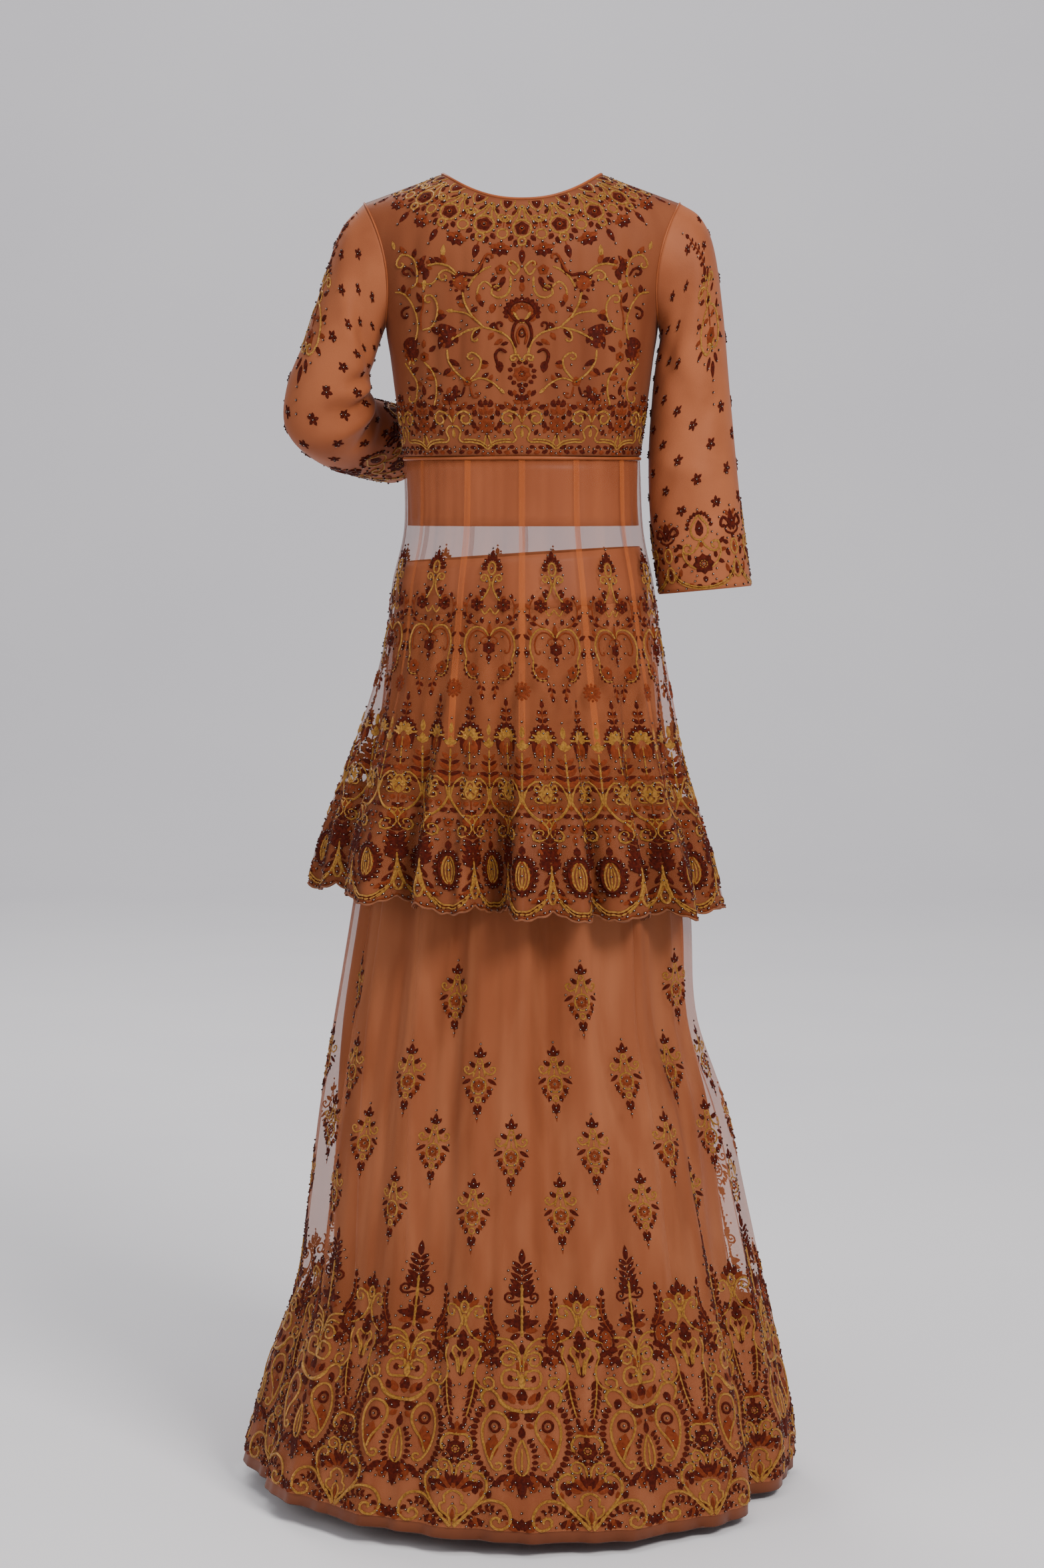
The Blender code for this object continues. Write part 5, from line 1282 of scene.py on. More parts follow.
def skirt_at(angle, share, inward=0.0):
    """The skirt's net."""
    z = between(YOKE_SEAM_Z + SKIRT_TOP_TILT * tilt(angle) - SEAM_GAP,
                SKIRT_HEM_Z - SKIRT_HEM_TILT * tilt(angle) + HEM_STRIP, share)
    gather = GATHER_DEPTH * (0.5 + 0.5 * np.cos(np.radians(angle) * GATHERS))
    gather = gather * np.maximum(1.0 - share / GATHER_END, 0.0)
    drawn_in = (fold_depth(SKIRT_FOLDS, angle, np.minimum(share, 1.0)) - gather
                + ripple_depth(NET_RIPPLES, angle, share) * np.minimum(share * RIPPLE_START, 1.0))
    return girth(SKIRT, angle, z, drawn_in + inward)


def lining_at(angle, share):
    """The skirt's lining."""
    z = between(YOKE_SEAM_Z + SKIRT_TOP_TILT * tilt(angle) - SEAM_GAP,
                SKIRT_HEM_Z - SKIRT_HEM_TILT * tilt(angle) + LINING_SHORT, share)
    drawn_in = (fold_depth(SKIRT_FOLDS, angle, share) + fold_depth(LINING_FOLDS, angle, share)
                + ripple_depth(LINING_RIPPLES, angle, share) * np.minimum(share * RIPPLE_START, 1.0))
    return girth(SKIRT, angle, z, drawn_in + smooth(LINING_EASE, z, "inside"))


def waistband_at(angle, share):
    """The skirt's satin waistband."""
    raised = SKIRT_TOP_TILT * tilt(angle)
    z = between(SKIRT_TOP_Z + raised, YOKE_SEAM_Z + raised, share)
    return girth(WAISTBAND, angle, z)


def midriff_at(angle, share):
    """The satin band that hangs inside the peplum."""
    z = between(PEPLUM_TOP_Z, MIDRIFF_END_Z, share)
    inside = WALL + 3 * SEAM_GAP + (BAND_EASE + ripple_depth(BAND_RIPPLES, angle, share)) * share
    return girth(PEPLUM, angle, z, inside)


def bodice_top(x, face):
    """Height of the neck curve and of the shoulder seam across the bodice."""
    neck = -NECK_DEPTH[face] * (1.0 - (np.abs(x) / NECK_HALF) ** NECK_ROUND)
    seam = -SHOULDER_DROP * (np.abs(x) - NECK_HALF) / (SHOULDER_HALF - NECK_HALF)
    return np.where(np.abs(x) < NECK_HALF, neck, seam)


def armhole_at(turn, face):
    """The armhole's loop at +X: turn 0 is the shoulder point, pi the underarm."""
    dip = ARMHOLE_DIP * np.sin(turn) ** 2
    x = (SHOULDER_HALF + UNDERARM_X) / 2 + (SHOULDER_HALF - UNDERARM_X) / 2 * np.cos(turn) - dip
    z = (UNDERARM_Z - SHOULDER_DROP) / 2 + (-SHOULDER_DROP - UNDERARM_Z) / 2 * np.cos(turn)
    return stack(x, ARMHOLE_DEPTH[face] * np.abs(np.sin(turn)), z)


def bodice_at(across, up, face):
    """The bodice's back or front, over shares across and up."""
    edge_z = WAIST_SEAM_Z + (-SHOULDER_DROP - WAIST_SEAM_Z) * up
    middle = (UNDERARM_Z - SHOULDER_DROP) / 2
    half = (-SHOULDER_DROP - UNDERARM_Z) / 2
    loop = armhole_at(np.arccos(np.clip((edge_z - middle) / half, -1.0, 1.0)), face)
    low = edge_z <= UNDERARM_Z
    edge_x = np.where(low, smooth(BODICE, edge_z, "half"), loop[..., 0])
    edge_y = np.where(low, 0.0, loop[..., 1])

    def shoulder(x, z):
        ridge = np.where(np.abs(x) >= NECK_HALF, bodice_top(x, face), 0.0)
        below = np.clip((ridge - z) / SHOULDER_ROUND, 0.0, 1.0)
        return np.sqrt(1.0 - (1.0 - below) ** 2)

    z = WAIST_SEAM_Z + (bodice_top(SHOULDER_HALF * across, face) - WAIST_SEAM_Z) * up
    x = edge_x * across
    at_edge = np.maximum(smooth(BODICE, edge_z, face) * shoulder(edge_x, edge_z), TINY)
    inset = np.clip(1.0 - (edge_y / at_edge) ** 2, TINY, 1.0) ** (1.0 / BODY_ROUND)
    swell = np.sqrt(np.maximum(1.0 - (np.abs(x) / (edge_x / inset)) ** BODY_ROUND, 0.0))
    depth = smooth(BODICE, z, face) * shoulder(x, z) * swell
    sign = 1.0 if face == "back" else -1.0
    return stack(x, sign * (depth + SEAM_GAP / 2), z)


def sleeve_at(rings, side, angle, share):
    """A sleeve, over degrees round it and shares along it."""
    turn = np.radians(angle)

    def ring_point(share):
        outer, inner = smooth(rings, share, "outer"), smooth(rings, share, "inner")
        ahead, behind = np.minimum(share + RING_STEP, 1.0), np.maximum(share - RING_STEP, 0.0)
        run = (smooth(rings, ahead, "outer") + smooth(rings, ahead, "inner")
               - smooth(rings, behind, "outer") - smooth(rings, behind, "inner"))
        half = (outer - inner) / 2
        flank = np.cross(half, run)
        flank /= np.linalg.norm(flank, axis=-1, keepdims=True)
        flank = np.where(flank[..., 1:2] < 0.0, -flank, flank)
        depth = smooth(rings, share, "half_depth")[..., None]
        return ((outer + inner) / 2 + half * np.cos(turn)[..., None]
                + flank * depth * np.sin(turn)[..., None])

    place = ring_point(share)
    back, front = armhole_at(turn, "back"), armhole_at(turn, "front")
    front[..., 1] *= -1.0
    loop = np.where((np.sin(turn) >= 0.0)[..., None], back, front)
    loop[..., 0] += 2 * SEAM_GAP
    fade = np.maximum(1.0 - share / ARMHOLE_FADE, 0.0) ** 2
    place = place + (loop - ring_point(np.zeros_like(share))) * fade[..., None]
    place[..., 0] *= side
    return place


def creased(points, normals, surface, creases):
    """Points moved in along soft troughs, each laid from one place of a surface to another."""
    sunk = np.zeros(points.shape[:-1])
    flat = points.reshape(-1, 3)
    for crease in creases:
        share = np.linspace(0.0, 1.0, CREASE_STEPS)
        line = surface(between(crease.first_1, crease.first_2, share),
                       between(crease.second_1, crease.second_2, share))
        away = np.linalg.norm(flat[:, None, :] - line[None, :, :], axis=-1)
        nearest = np.argmin(away, axis=1)
        fade = np.sin(math.pi * (share * CREASE_SPAN + CREASE_FIRST))[nearest]
        bump = crease.depth * fade * np.exp(-(away.min(axis=1) / crease.width) ** 2)
        sunk += bump.reshape(sunk.shape)
    return points - normals * sunk[..., None]


def outward(points, ring, centre=None):
    """Unit directions out of a grid of points."""
    if ring:
        across = np.roll(points, -1, axis=1) - np.roll(points, 1, axis=1)
    else:
        across = np.gradient(points, axis=1)
    down = np.gradient(points, axis=0)
    out = np.cross(across, down)
    out /= np.maximum(np.linalg.norm(out, axis=-1, keepdims=True), LEAST)
    middle = points.mean(axis=1, keepdims=True) if centre is None else centre
    facing = np.sum(out * (points - middle), axis=-1).mean()
    return out if facing > 0.0 else -out


class Ground:
    """A cloth as a grid of points with their outward directions, read anywhere between them."""

    def __init__(self, points, normals, first, ring, length, second=(0.0, 1.0), sign=1.0):
        self.points, self.normals, self.ring = points, normals, ring
        self.first, self.second, self.length, self.sign = first, second, length, sign
        middle = points.mean(axis=1, keepdims=True)
        steps = np.diff(np.concatenate([points, points[:, :1]], axis=1), axis=1)
        around = np.linalg.norm(steps, axis=-1).sum(axis=1)
        level = np.linalg.norm(points - middle, axis=-1).mean(axis=1)
        self.radius = np.minimum(around / (2 * math.pi), level)

    def read(self, first, second, lift):
        """Points at places of the grid, lifted off it."""
        rows, columns = self.points.shape[:2]
        wide = columns if self.ring else columns - 1
        u = (first - self.first[0]) / (self.first[1] - self.first[0]) * wide
        v = (second - self.second[0]) / (self.second[1] - self.second[0]) * (rows - 1)
        u = u % columns if self.ring else np.clip(u, 0, columns - 1.001)
        v = np.clip(v, 0, rows - 1.001)
        i, j = np.floor(u).astype(int) % columns, np.floor(v).astype(int)
        right = (i + 1) % columns
        s, t = (u - np.floor(u))[:, None], (v - j)[:, None]
        found = []
        for grid in (self.points, self.normals):
            found.append((grid[j, i] * (1 - s) + grid[j, right] * s) * (1 - t)
                         + (grid[j + 1, i] * (1 - s) + grid[j + 1, right] * s) * t)
        return found[0] + found[1] * lift[:, None]

    def reach(self, spot, x, y):
        """The place x metres to the right of a spot, as seen from outside, and y metres up."""
        second = spot[1] - y / self.length
        if not self.ring:
            return spot[0] + self.sign * x, second
        row = (second - self.second[0]) / (self.second[1] - self.second[0]) * (len(self.radius) - 1)
        radius = np.interp(row, np.arange(len(self.radius)), self.radius)
        return spot[0] + self.sign * np.degrees(x / radius), second


def evened_angles(surface, cloth_angle, share):
    """Angles round the body that lie at even lengths of a folded cloth, row by row."""
    fine = np.linspace(0.0, 360.0, FINE_STEPS)
    found = np.empty_like(cloth_angle)
    for row in range(len(share)):
        points = surface(fine, np.minimum(share[row, :1], 1.0))
        along = np.concatenate([[0.0], np.cumsum(np.linalg.norm(np.diff(points, axis=0), axis=1))])
        found[row] = np.interp(cloth_angle[row] / 360.0 * along[-1], along, fine)
    return found


def hanging_ground(surface, columns, rows, length, second=(0.0, 1.0), folded=None):
    """The ground of a piece that hangs round the body, even along the folds of another."""
    cloth_angle, share = np.meshgrid(np.linspace(0.0, 360.0, columns, endpoint=False),
                                     np.linspace(*second, rows))
    if folded is None:
        points = surface(cloth_angle, share)
    else:
        points = surface(evened_angles(folded, cloth_angle, share), share, cloth_angle)
    normals = outward(points, True, points * (0.0, 0.0, 1.0))
    return Ground(points, normals, (0.0, 360.0), True, length, second)


def sleeve_ground(rings, side, creases, columns, rows, length):
    """The ground of a sleeve, with its creases."""
    angle, share = np.meshgrid(np.linspace(0.0, 360.0, columns, endpoint=False),
                               np.linspace(0.0, 1.0, rows))
    points = sleeve_at(rings, side, angle, share)
    normals = outward(points, True)
    points = creased(points, normals, lambda a, s: sleeve_at(rings, side, a, s), creases)
    return Ground(points, outward(points, True), (0.0, 360.0), True, length, sign=side)


def level_bodice(x_share, z, face):
    """The bodice over shares across and heights."""
    top = bodice_top(SHOULDER_HALF * x_share, face)
    return bodice_at(x_share, np.minimum((z - WAIST_SEAM_Z) / (top - WAIST_SEAM_Z), 1.0), face)


def bodice_spot(face):
    """The bodice as a surface over x and z, to lay creases on."""
    def at(x, z):
        half = smooth(BODICE, z, "half")
        return level_bodice(np.clip(x / half, -1.0, 1.0), z, face)
    return at


def bodice_cloth(face, columns, rows):
    """The points and outward directions of a bodice panel."""
    across, up = np.meshgrid(np.linspace(-1.0, 1.0, columns), np.linspace(0.0, 1.0, rows))
    neck = NECK_HALF / SHOULDER_HALF
    reach = np.abs(across)
    over_neck = neck * np.sin(reach / NECK_COLUMNS * math.pi / 2)
    beside_it = neck + (1 - neck) * np.sin((reach - NECK_COLUMNS) / (1 - NECK_COLUMNS) * math.pi / 2)
    across = np.sign(across) * np.where(reach < NECK_COLUMNS, over_neck, beside_it)
    points = bodice_at(across, up, face)
    normals = outward(points, False, np.zeros(3))
    points = creased(points, normals, bodice_spot(face), BODICE_CREASES)
    return points, normals


def bodice_rows(face, top_z, rows):
    """Points and outward directions of level rows of the bodice, from the waist up."""
    share, z = np.meshgrid(np.linspace(-1.0, 1.0, LEVEL_COLUMNS),
                           np.linspace(WAIST_SEAM_Z, top_z, rows))
    points = level_bodice(share, z, face)
    normals = outward(points, False, np.zeros(3))
    points = creased(points, normals, bodice_spot(face), BODICE_CREASES)
    return points, outward(points, False, np.zeros(3))


def along_rows(points):
    """How far each point of each row is from the row's start."""
    steps = np.linalg.norm(np.diff(points, axis=1), axis=-1)
    return np.concatenate([np.zeros((len(points), 1)), np.cumsum(steps, axis=1)], axis=1)


def evened(grid, along, places):
    """Rows of a grid read at even places along them."""
    return np.stack([np.stack([np.interp(places[row], along[row], grid[row, :, axis])
                               for axis in range(3)], axis=-1) for row in range(len(grid))])


def bodice_ground(face, top_z, columns, rows):
    """The ground of a bodice panel, over metres of cloth from its middle, and up from the waist."""
    points, normals = bodice_rows(face, top_z, rows)
    along = along_rows(points)
    along -= along[:, LEVEL_COLUMNS // 2][:, None]
    places = [np.linspace(-BODICE_REACH, BODICE_REACH, columns)] * rows
    sign = -1.0 if face == "back" else 1.0
    return Ground(evened(points, along, places)[::-1], evened(normals, along, places)[::-1],
                  (-BODICE_REACH, BODICE_REACH), False, top_z - WAIST_SEAM_Z, sign=sign)


def waist_ground(top_z, columns, rows):
    """The ground all round the foot of the bodice."""
    back, _ = bodice_rows("back", top_z, rows)
    front, _ = bodice_rows("front", top_z, rows)
    middle = LEVEL_COLUMNS // 2
    loop = np.concatenate([back[:, middle::-1], front[:, 1:-1], back[:, :middle - 1:-1]], axis=1)
    along = along_rows(loop)
    places = [np.linspace(0.0, along[row, -1], columns, endpoint=False) for row in range(rows)]
    points = evened(loop, along, places)[::-1]
    normals = outward(points, True, points * (0.0, 0.0, 1.0))
    return Ground(points, normals, (0.0, 360.0), True, top_z - WAIST_SEAM_Z)


def softened(grid, axis):
    """A closed grid, each point drawn towards its two neighbours along one axis."""
    return (np.roll(grid, 1, axis=axis) + grid * 2 + np.roll(grid, -1, axis=axis)) / 4


def surface_tree(panels):
    """The panels as one surface that finds the place nearest to a point."""
    points = np.concatenate([panel.reshape(-1, 3) for panel in panels])
    faces, start = [], 0
    for panel in panels:
        rows, columns = panel.shape[:2]
        for row in range(rows - 1):
            for column in range(columns - 1):
                a = start + row * columns + column
                faces.append((a, a + 1, a + columns + 1, a + columns))
        start += rows * columns
    return BVHTree.FromPolygons([Vector(point) for point in points], faces)


def neck_edge(panels, count):
    """Even points along the neck's edge, from the middle of the back round to it again."""
    back, front = panels[0][-1], panels[1][-1]
    back = back[np.abs(back[:, 0]) <= NECK_HALF + TINY]
    front = front[np.abs(front[:, 0]) <= NECK_HALF + TINY]
    loop = np.concatenate([back, front[::-1][1:-1]])[::-1]
    behind = np.flatnonzero(loop[:, 1] >= 0)
    start = int(behind[np.argmin(np.abs(loop[behind, 0]))])
    loop = np.roll(loop, -start, axis=0)
    loop[np.abs(np.abs(loop[:, 0]) - NECK_HALF) < TINY, 1] = 0.0
    closed = np.concatenate([loop, loop[:1]])
    along = np.concatenate([[0.0], np.cumsum(np.linalg.norm(np.diff(closed, axis=0), axis=1))])
    at = np.linspace(0.0, along[-1], count, endpoint=False)
    edge = np.stack([np.interp(at, along, closed[:, axis]) for axis in range(3)], axis=1)
    for _ in range(EDGE_PASSES):
        edge = softened(edge, 0)
    return edge


def collar_ground(panels, steps, count):
    """The ground round the neck, over degrees round it and metres out from its edge."""
    tree, edge = surface_tree(panels), neck_edge(panels, count)
    rows, outs = [[] for _ in range(steps)], [[] for _ in range(steps)]
    for index in range(count):
        place, out = tree.find_nearest(Vector(edge[index]))[:2]
        run = Vector(edge[(index + 1) % count] - edge[index - 1])
        heading = out.cross(run).normalized()
        if heading.dot(place - Vector(COLLAR_MIDDLE)) < 0.0:
            heading = -heading
        for step in range(steps):
            if out.dot(place - Vector(CHEST_MIDDLE)) < 0.0:
                out = -out
            rows[step].append(tuple(place))
            outs[step].append(tuple(out))
            new_place, out = tree.find_nearest(place + heading * COLLAR_STEP)[:2]
            moved = new_place - place
            if moved.length > TINY:
                heading = moved.normalized()
            place = new_place
    points, normals = np.array(rows), np.array(outs)
    for _ in range(GROUND_PASSES):
        normals = softened(normals, 1)
        points[1:] = softened(points[1:], 1)
    return Ground(points, normals, (0.0, 360.0), True, COLLAR_STEP * (steps - 1))


def make_mesh(name, points, faces, marks, slots, face_slots=None):
    """An object from arrays of points, triangles or quads, and marks for the stitches."""
    mesh = bpy.data.meshes.new(name)
    corners = faces.shape[1]
    mesh.vertices.add(len(points))
    mesh.vertices.foreach_set("co", np.asarray(points, np.float32).ravel())
    mesh.loops.add(faces.size)
    mesh.loops.foreach_set("vertex_index", faces.astype(np.int32).ravel())
    mesh.polygons.add(len(faces))
    mesh.polygons.foreach_set("loop_start", np.arange(0, faces.size, corners, dtype=np.int32))
    if face_slots is not None:
        mesh.polygons.foreach_set("material_index", face_slots.astype(np.int32))
    mesh.polygons.foreach_set("use_smooth", np.full(len(faces), True))
    layer = mesh.uv_layers.new(name="stitches")
    layer.data.foreach_set("uv", np.asarray(marks, np.float32)[faces.ravel()].ravel())
    for slot in slots:
        mesh.materials.append(slot)
    mesh.update()
    mesh.validate()
    piece = bpy.data.objects.new(name, mesh)
    bpy.context.collection.objects.link(piece)
    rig.ride(piece, "root")
    return piece


def cloth(name, points, normals, material, slot, ring, thickness):
    """A sheet from a grid of points, single or as a thin shell."""
    rows, columns = points.shape[:2]
    wide = columns if ring else columns - 1
    row, column = np.meshgrid(np.arange(rows - 1), np.arange(wide), indexing="ij")
    right = (column + 1) % columns
    faces = np.stack([row * columns + column, row * columns + right,
                      (row + 1) * columns + right, (row + 1) * columns + column], axis=-1).reshape(-1, 4)
    u, v = np.meshgrid(np.linspace(0.0, 1.0, columns), np.linspace(0.0, 1.0, rows))
    flat = points.reshape(-1, 3)
    first = faces[len(faces) // 2]
    side = np.cross(flat[first[1]] - flat[first[0]], flat[first[3]] - flat[first[0]])
    if side.dot(normals.reshape(-1, 3)[first[0]]) < 0.0:
        faces = faces[:, ::-1]
    piece = make_mesh(name, flat, faces, np.stack([u.ravel(), v.ravel()], axis=1), [material])
    if thickness:
        shell = piece.modifiers.new("thickness", "SOLIDIFY")
        shell.thickness = thickness
        shell.offset = -1.0
    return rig.slot(piece, slot)


def tube(name, ground, material, slot, thickness=SHELL):
    """A cloth all round its ground, closed in itself."""
    return cloth(name, ground.points, ground.normals, material, slot, True, thickness)


def smooth_line(places, step=STITCH_STEP):
    """Points of a smooth curve through places, about one step apart."""
    given = np.array([places[0], *places, places[-1]], float)
    line = []
    for before, first, last, after in zip(given, given[1:], given[2:], given[3:]):
        count = max(int(math.ceil(math.dist(first, last) / step)), 1)
        for share in np.arange(count) / count:
            line.append(0.5 * (2 * first + (last - before) * share
                               + (2 * before - 5 * first + 4 * last - after) * share ** 2
                               + (3 * first - before - 3 * last + after) * share ** 3))
    return np.array([*line, given[-1]])


def curled(line, radius, turn):
    """A line with a spiral at its end that turns by degrees and narrows inward."""
    run = line[-1] - line[-2]
    heading = math.atan2(run[1], run[0])
    count = max(int(abs(turn) / CURL_STEP), 2)
    bend = math.radians(turn) / count
    points = list(line)
    for step in range(count):
        reach = radius * (1.0 - (1.0 - CURL_LAST) * step / count)
        heading += bend / 2
        length = 2 * reach * math.sin(abs(bend) / 2)
        points.append(points[-1] + length * np.array([math.cos(heading), math.sin(heading)]))
        heading += bend / 2
    return np.array(points)


def capped_faces(count):
    """Triangles between a ring, a smaller ring after it and the point after that."""
    low = np.arange(count)
    after = (low + 1) % count
    return np.concatenate([np.stack([low, after, after + count], axis=1),
                           np.stack([low, after + count, low + count], axis=1),
                           np.stack([low + count, after + count, np.full(count, 2 * count)], axis=1)])


class Work:
    """Embroidery laid out flat in millimetres: points with a height, stitches, triangles, threads."""

    def __init__(self):
        self.points, self.marks = np.zeros((0, 3)), np.zeros((0, 2))
        self.faces, self.threads = np.zeros((0, 3), int), np.zeros(0, int)

    def add(self, points, marks, faces, threads):
        """More points and triangles, in one thread or one for each triangle."""
        self.faces = np.concatenate([self.faces, np.asarray(faces, int) + len(self.points)])
        self.threads = np.concatenate([self.threads, np.broadcast_to(threads, len(faces))])
        self.points = np.concatenate([self.points, np.asarray(points, float)])
        self.marks = np.concatenate([self.marks, np.asarray(marks, float)])

    def join(self, other, turn=0.0, size=(1.0, 1.0), mirrored=False):
        """Another work laid into this one."""
        points, faces = other.points * (*size, 1.0), other.faces
        if mirrored:
            points, faces = points * (-1.0, 1.0, 1.0), faces[:, ::-1]
        c, s = math.cos(math.radians(turn)), math.sin(math.radians(turn))
        turned = np.stack([points[:, 0] * c - points[:, 1] * s,
                           points[:, 0] * s + points[:, 1] * c, points[:, 2]], axis=1)
        self.add(turned, other.marks, faces, other.threads)

    def lay(self, items):
        """Every item of a design."""
        for item in items:
            getattr(self, type(item).__name__.lower())(*item)
        return self

    def cord(self, line, width, thread, closed=False):
        """A half-round line of thread, drawn out thin at its ends."""
        count = len(line)
        if closed:
            run = np.roll(line, -1, axis=0) - np.roll(line, 1, axis=0)
        else:
            run = np.gradient(line, axis=0)
        run = run / np.maximum(np.linalg.norm(run, axis=1, keepdims=True), LEAST)
        side = np.stack([-run[:, 1], run[:, 0]], axis=1)
        wide = np.full(count, width * LINE_KEEP)
        if not closed:
            wide[0] *= LINE_TIP
            wide[-1] *= LINE_TIP
        across = wide[:, None] * CORD_ACROSS[None, :]
        flat = line[:, None, :] + side[:, None, :] * wide[:, None, None] * CORD_ACROSS[None, :, None]
        height = wide[:, None] * CORD_UP[None, :]
        points = np.concatenate([flat, height[..., None]], axis=-1).reshape(-1, 3)
        steps = np.linalg.norm(np.diff(line, axis=0), axis=1)
        along = np.concatenate([[0.0], np.cumsum(steps)])
        marks = np.stack(np.broadcast_arrays(along[:, None], across), axis=-1)
        places, spans = len(CORD_ACROSS), count if closed else count - 1
        row, column = np.meshgrid(np.arange(spans), np.arange(places - 1), indexing="ij")
        a, b = row * places + column, (row + 1) % count * places + column
        faces = np.concatenate([np.stack([a, b, b + 1], axis=-1).reshape(-1, 3),
                                np.stack([a, b + 1, a + 1], axis=-1).reshape(-1, 3)])
        self.add(points, marks.reshape(-1, 2), faces, thread)

    def stem(self, thread, width, places, curl=None):
        """A line of thread through places, with a curl at its end if one is given."""
        line = smooth_line(places)
        self.cord(curled(line, *curl) if curl else line, width, thread)

    def loop(self, thread, width, x, y, across, tall):
        """An oval of thread."""
        count = max(int((across + tall) * LOOP_POINTS), LOOP_LEAST)
        angle = np.linspace(0.0, 2 * math.pi, count, endpoint=False)
        line = np.stack([np.cos(angle) * across / 2, np.sin(angle) * tall / 2], axis=1)
        self.cord(line + (x, y), width, thread, closed=True)

    def leaf(self, thread, x, y, heading, length, width, bend=0.0):
        """A raised leaf from its foot to its tip, ridged along its middle."""
        stations = LEAF_LONG if length > LONG_LEAF else LEAF_SHORT
        points, marks = [(x, y, 0.0)], [(0.0, 0.0)]
        for share, spread in stations:
            turn = math.radians(heading + bend * share)
            middle = (x + math.cos(turn) * length * share, y + math.sin(turn) * length * share)
            across = np.array([-math.sin(turn), math.cos(turn)]) * width / 2 * spread
            for offset, height in ((1.0, 0.0), (0.0, 1.0), (-1.0, 0.0)):
                points.append((middle[0] + across[0] * offset, middle[1] + across[1] * offset,
                               height * min(width * LEAF_UP, LEAF_HIGH)))
                marks.append((length * share, width * offset / 2))
        turn = math.radians(heading + bend)
        points.append((x + math.cos(turn) * length, y + math.sin(turn) * length, 0.0))
        marks.append((length, 0.0))
        last = len(points) - 1
        faces = [(0, 2, 1), (0, 3, 2), (last, last - 3, last - 2), (last, last - 2, last - 1)]
        for start in range(1, last - 3, 3):
            for a in (start, start + 1):
                faces += [(a, a + 1, a + 4), (a, a + 4, a + 3)]
        self.add(points, marks, faces, thread)

    def leaves(self, rows):
        """Leaves one after another."""
        for row in rows:
            self.leaf(*row)

    def bead(self, x, y):
        """A small glass bead, marked from its foot to its tip so that its tip takes a painted highlight."""
        angle = np.linspace(0.0, 2 * math.pi, BEAD_SIDES, endpoint=False)
        circle = np.stack([np.cos(angle), np.sin(angle)], axis=1) * BEAD_RADIUS
        inward, raised = BEAD_WAIST
        points = np.concatenate([
            np.column_stack([circle, np.zeros(BEAD_SIDES)]),
            np.column_stack([circle * inward, np.full(BEAD_SIDES, BEAD_RADIUS * raised)]),
            [[0.0, 0.0, BEAD_RADIUS * BEAD_TOP]]])
        # These marks place the painted highlight near the bead's tip
        shine = np.repeat(BEAD_PAINTED_GLINT, (BEAD_SIDES, BEAD_SIDES, 1))
        self.add(points + (x, y, 0.0), np.stack([shine, shine], axis=1), capped_faces(BEAD_SIDES), BEAD)

    def beads(self, places):
        """Beads at places."""
        for x, y in places:
            self.bead(x, y)

    def fan(self, thread, x, y, across, tall, first, last, count, length, width):
        """Leaves that point out of an arc, from one direction to another."""
        for step in range(count):
            turn = math.radians(first + (last - first) * step / max(count - 1, 1))
            foot = (x + math.cos(turn) * across / 2, y + math.sin(turn) * tall / 2)
            self.leaf(thread, *foot, math.degrees(turn), length, width)

    def halo(self, x, y, across, tall, first, last, count):
        """Beads along an arc."""
        for step in range(count):
            turn = math.radians(first + (last - first) * step / max(count - 1, 1))
            self.bead(x + math.cos(turn) * across / 2, y + math.sin(turn) * tall / 2)

    def frond(self, thread, places, count, length, width, lean, stem=None):
        """Leaves in pairs along a smooth line, leaning forward, smaller towards its end."""
        line = smooth_line(places, FROND_STEP)
        if stem:
            self.cord(line[::2], *stem)
        for step in range(count):
            index = int((len(line) - 2) * (step + FROND_FIRST) / count)
            run = line[index + 1] - line[index]
            heading = math.degrees(math.atan2(run[1], run[0]))
            keep = 1.0 - FROND_TAPER * step / count
            for side in (lean, -lean):
                self.leaf(thread, *line[index], heading + side, length * keep, width * keep)
        run = line[-1] - line[-3]
        self.leaf(thread, *line[-1], math.degrees(math.atan2(run[1], run[0])), length, width)

    def bloom(self, thread, x, y, across, petals, heart=None, turn=90.0):
        """A round flower with a bead or a ring of thread at its heart."""
        for petal in range(petals):
            heading = turn + 360.0 * petal / petals
            foot = (x + math.cos(math.radians(heading)) * across * PETAL_FOOT,
                    y + math.sin(math.radians(heading)) * across * PETAL_FOOT)
            width = min(PETAL_WIDTHS / petals, PETAL_LENGTH)
            self.leaf(thread, *foot, heading, across * PETAL_LENGTH, across * width)
        if heart is None:
            self.bead(x, y)
        else:
            self.loop(heart, HEART_THREAD, x, y, across * HEART_ACROSS, across * HEART_ACROSS)

    def pad(self, thread, places):
        """A filled patch of stitches inside a smooth outline."""
        line = smooth_line([*places, places[0]], PAD_STEP)[:-1]
        middle = line.mean(axis=0)
        count = len(line)
        inner = middle + (line - middle) * PAD_INNER
        points = np.concatenate([np.column_stack([line, np.zeros(count)]),
                                 np.column_stack([inner, np.full(count, PAD_HEIGHT)]),
                                 [[*middle, PAD_HEIGHT]]])
        faces = capped_faces(count)
        area = np.sum(line[:, 0] * np.roll(line[:, 1], -1) - line[:, 1] * np.roll(line[:, 0], -1))
        self.add(points, points[:, :2], faces if area > 0.0 else faces[:, ::-1], thread)


def drawn(design):
    """A design with its whole items, and its half items on both sides."""
    work = Work().lay(design.whole)
    side = Work().lay(design.half)
    work.join(side)
    work.join(side, mirrored=True)
    return work


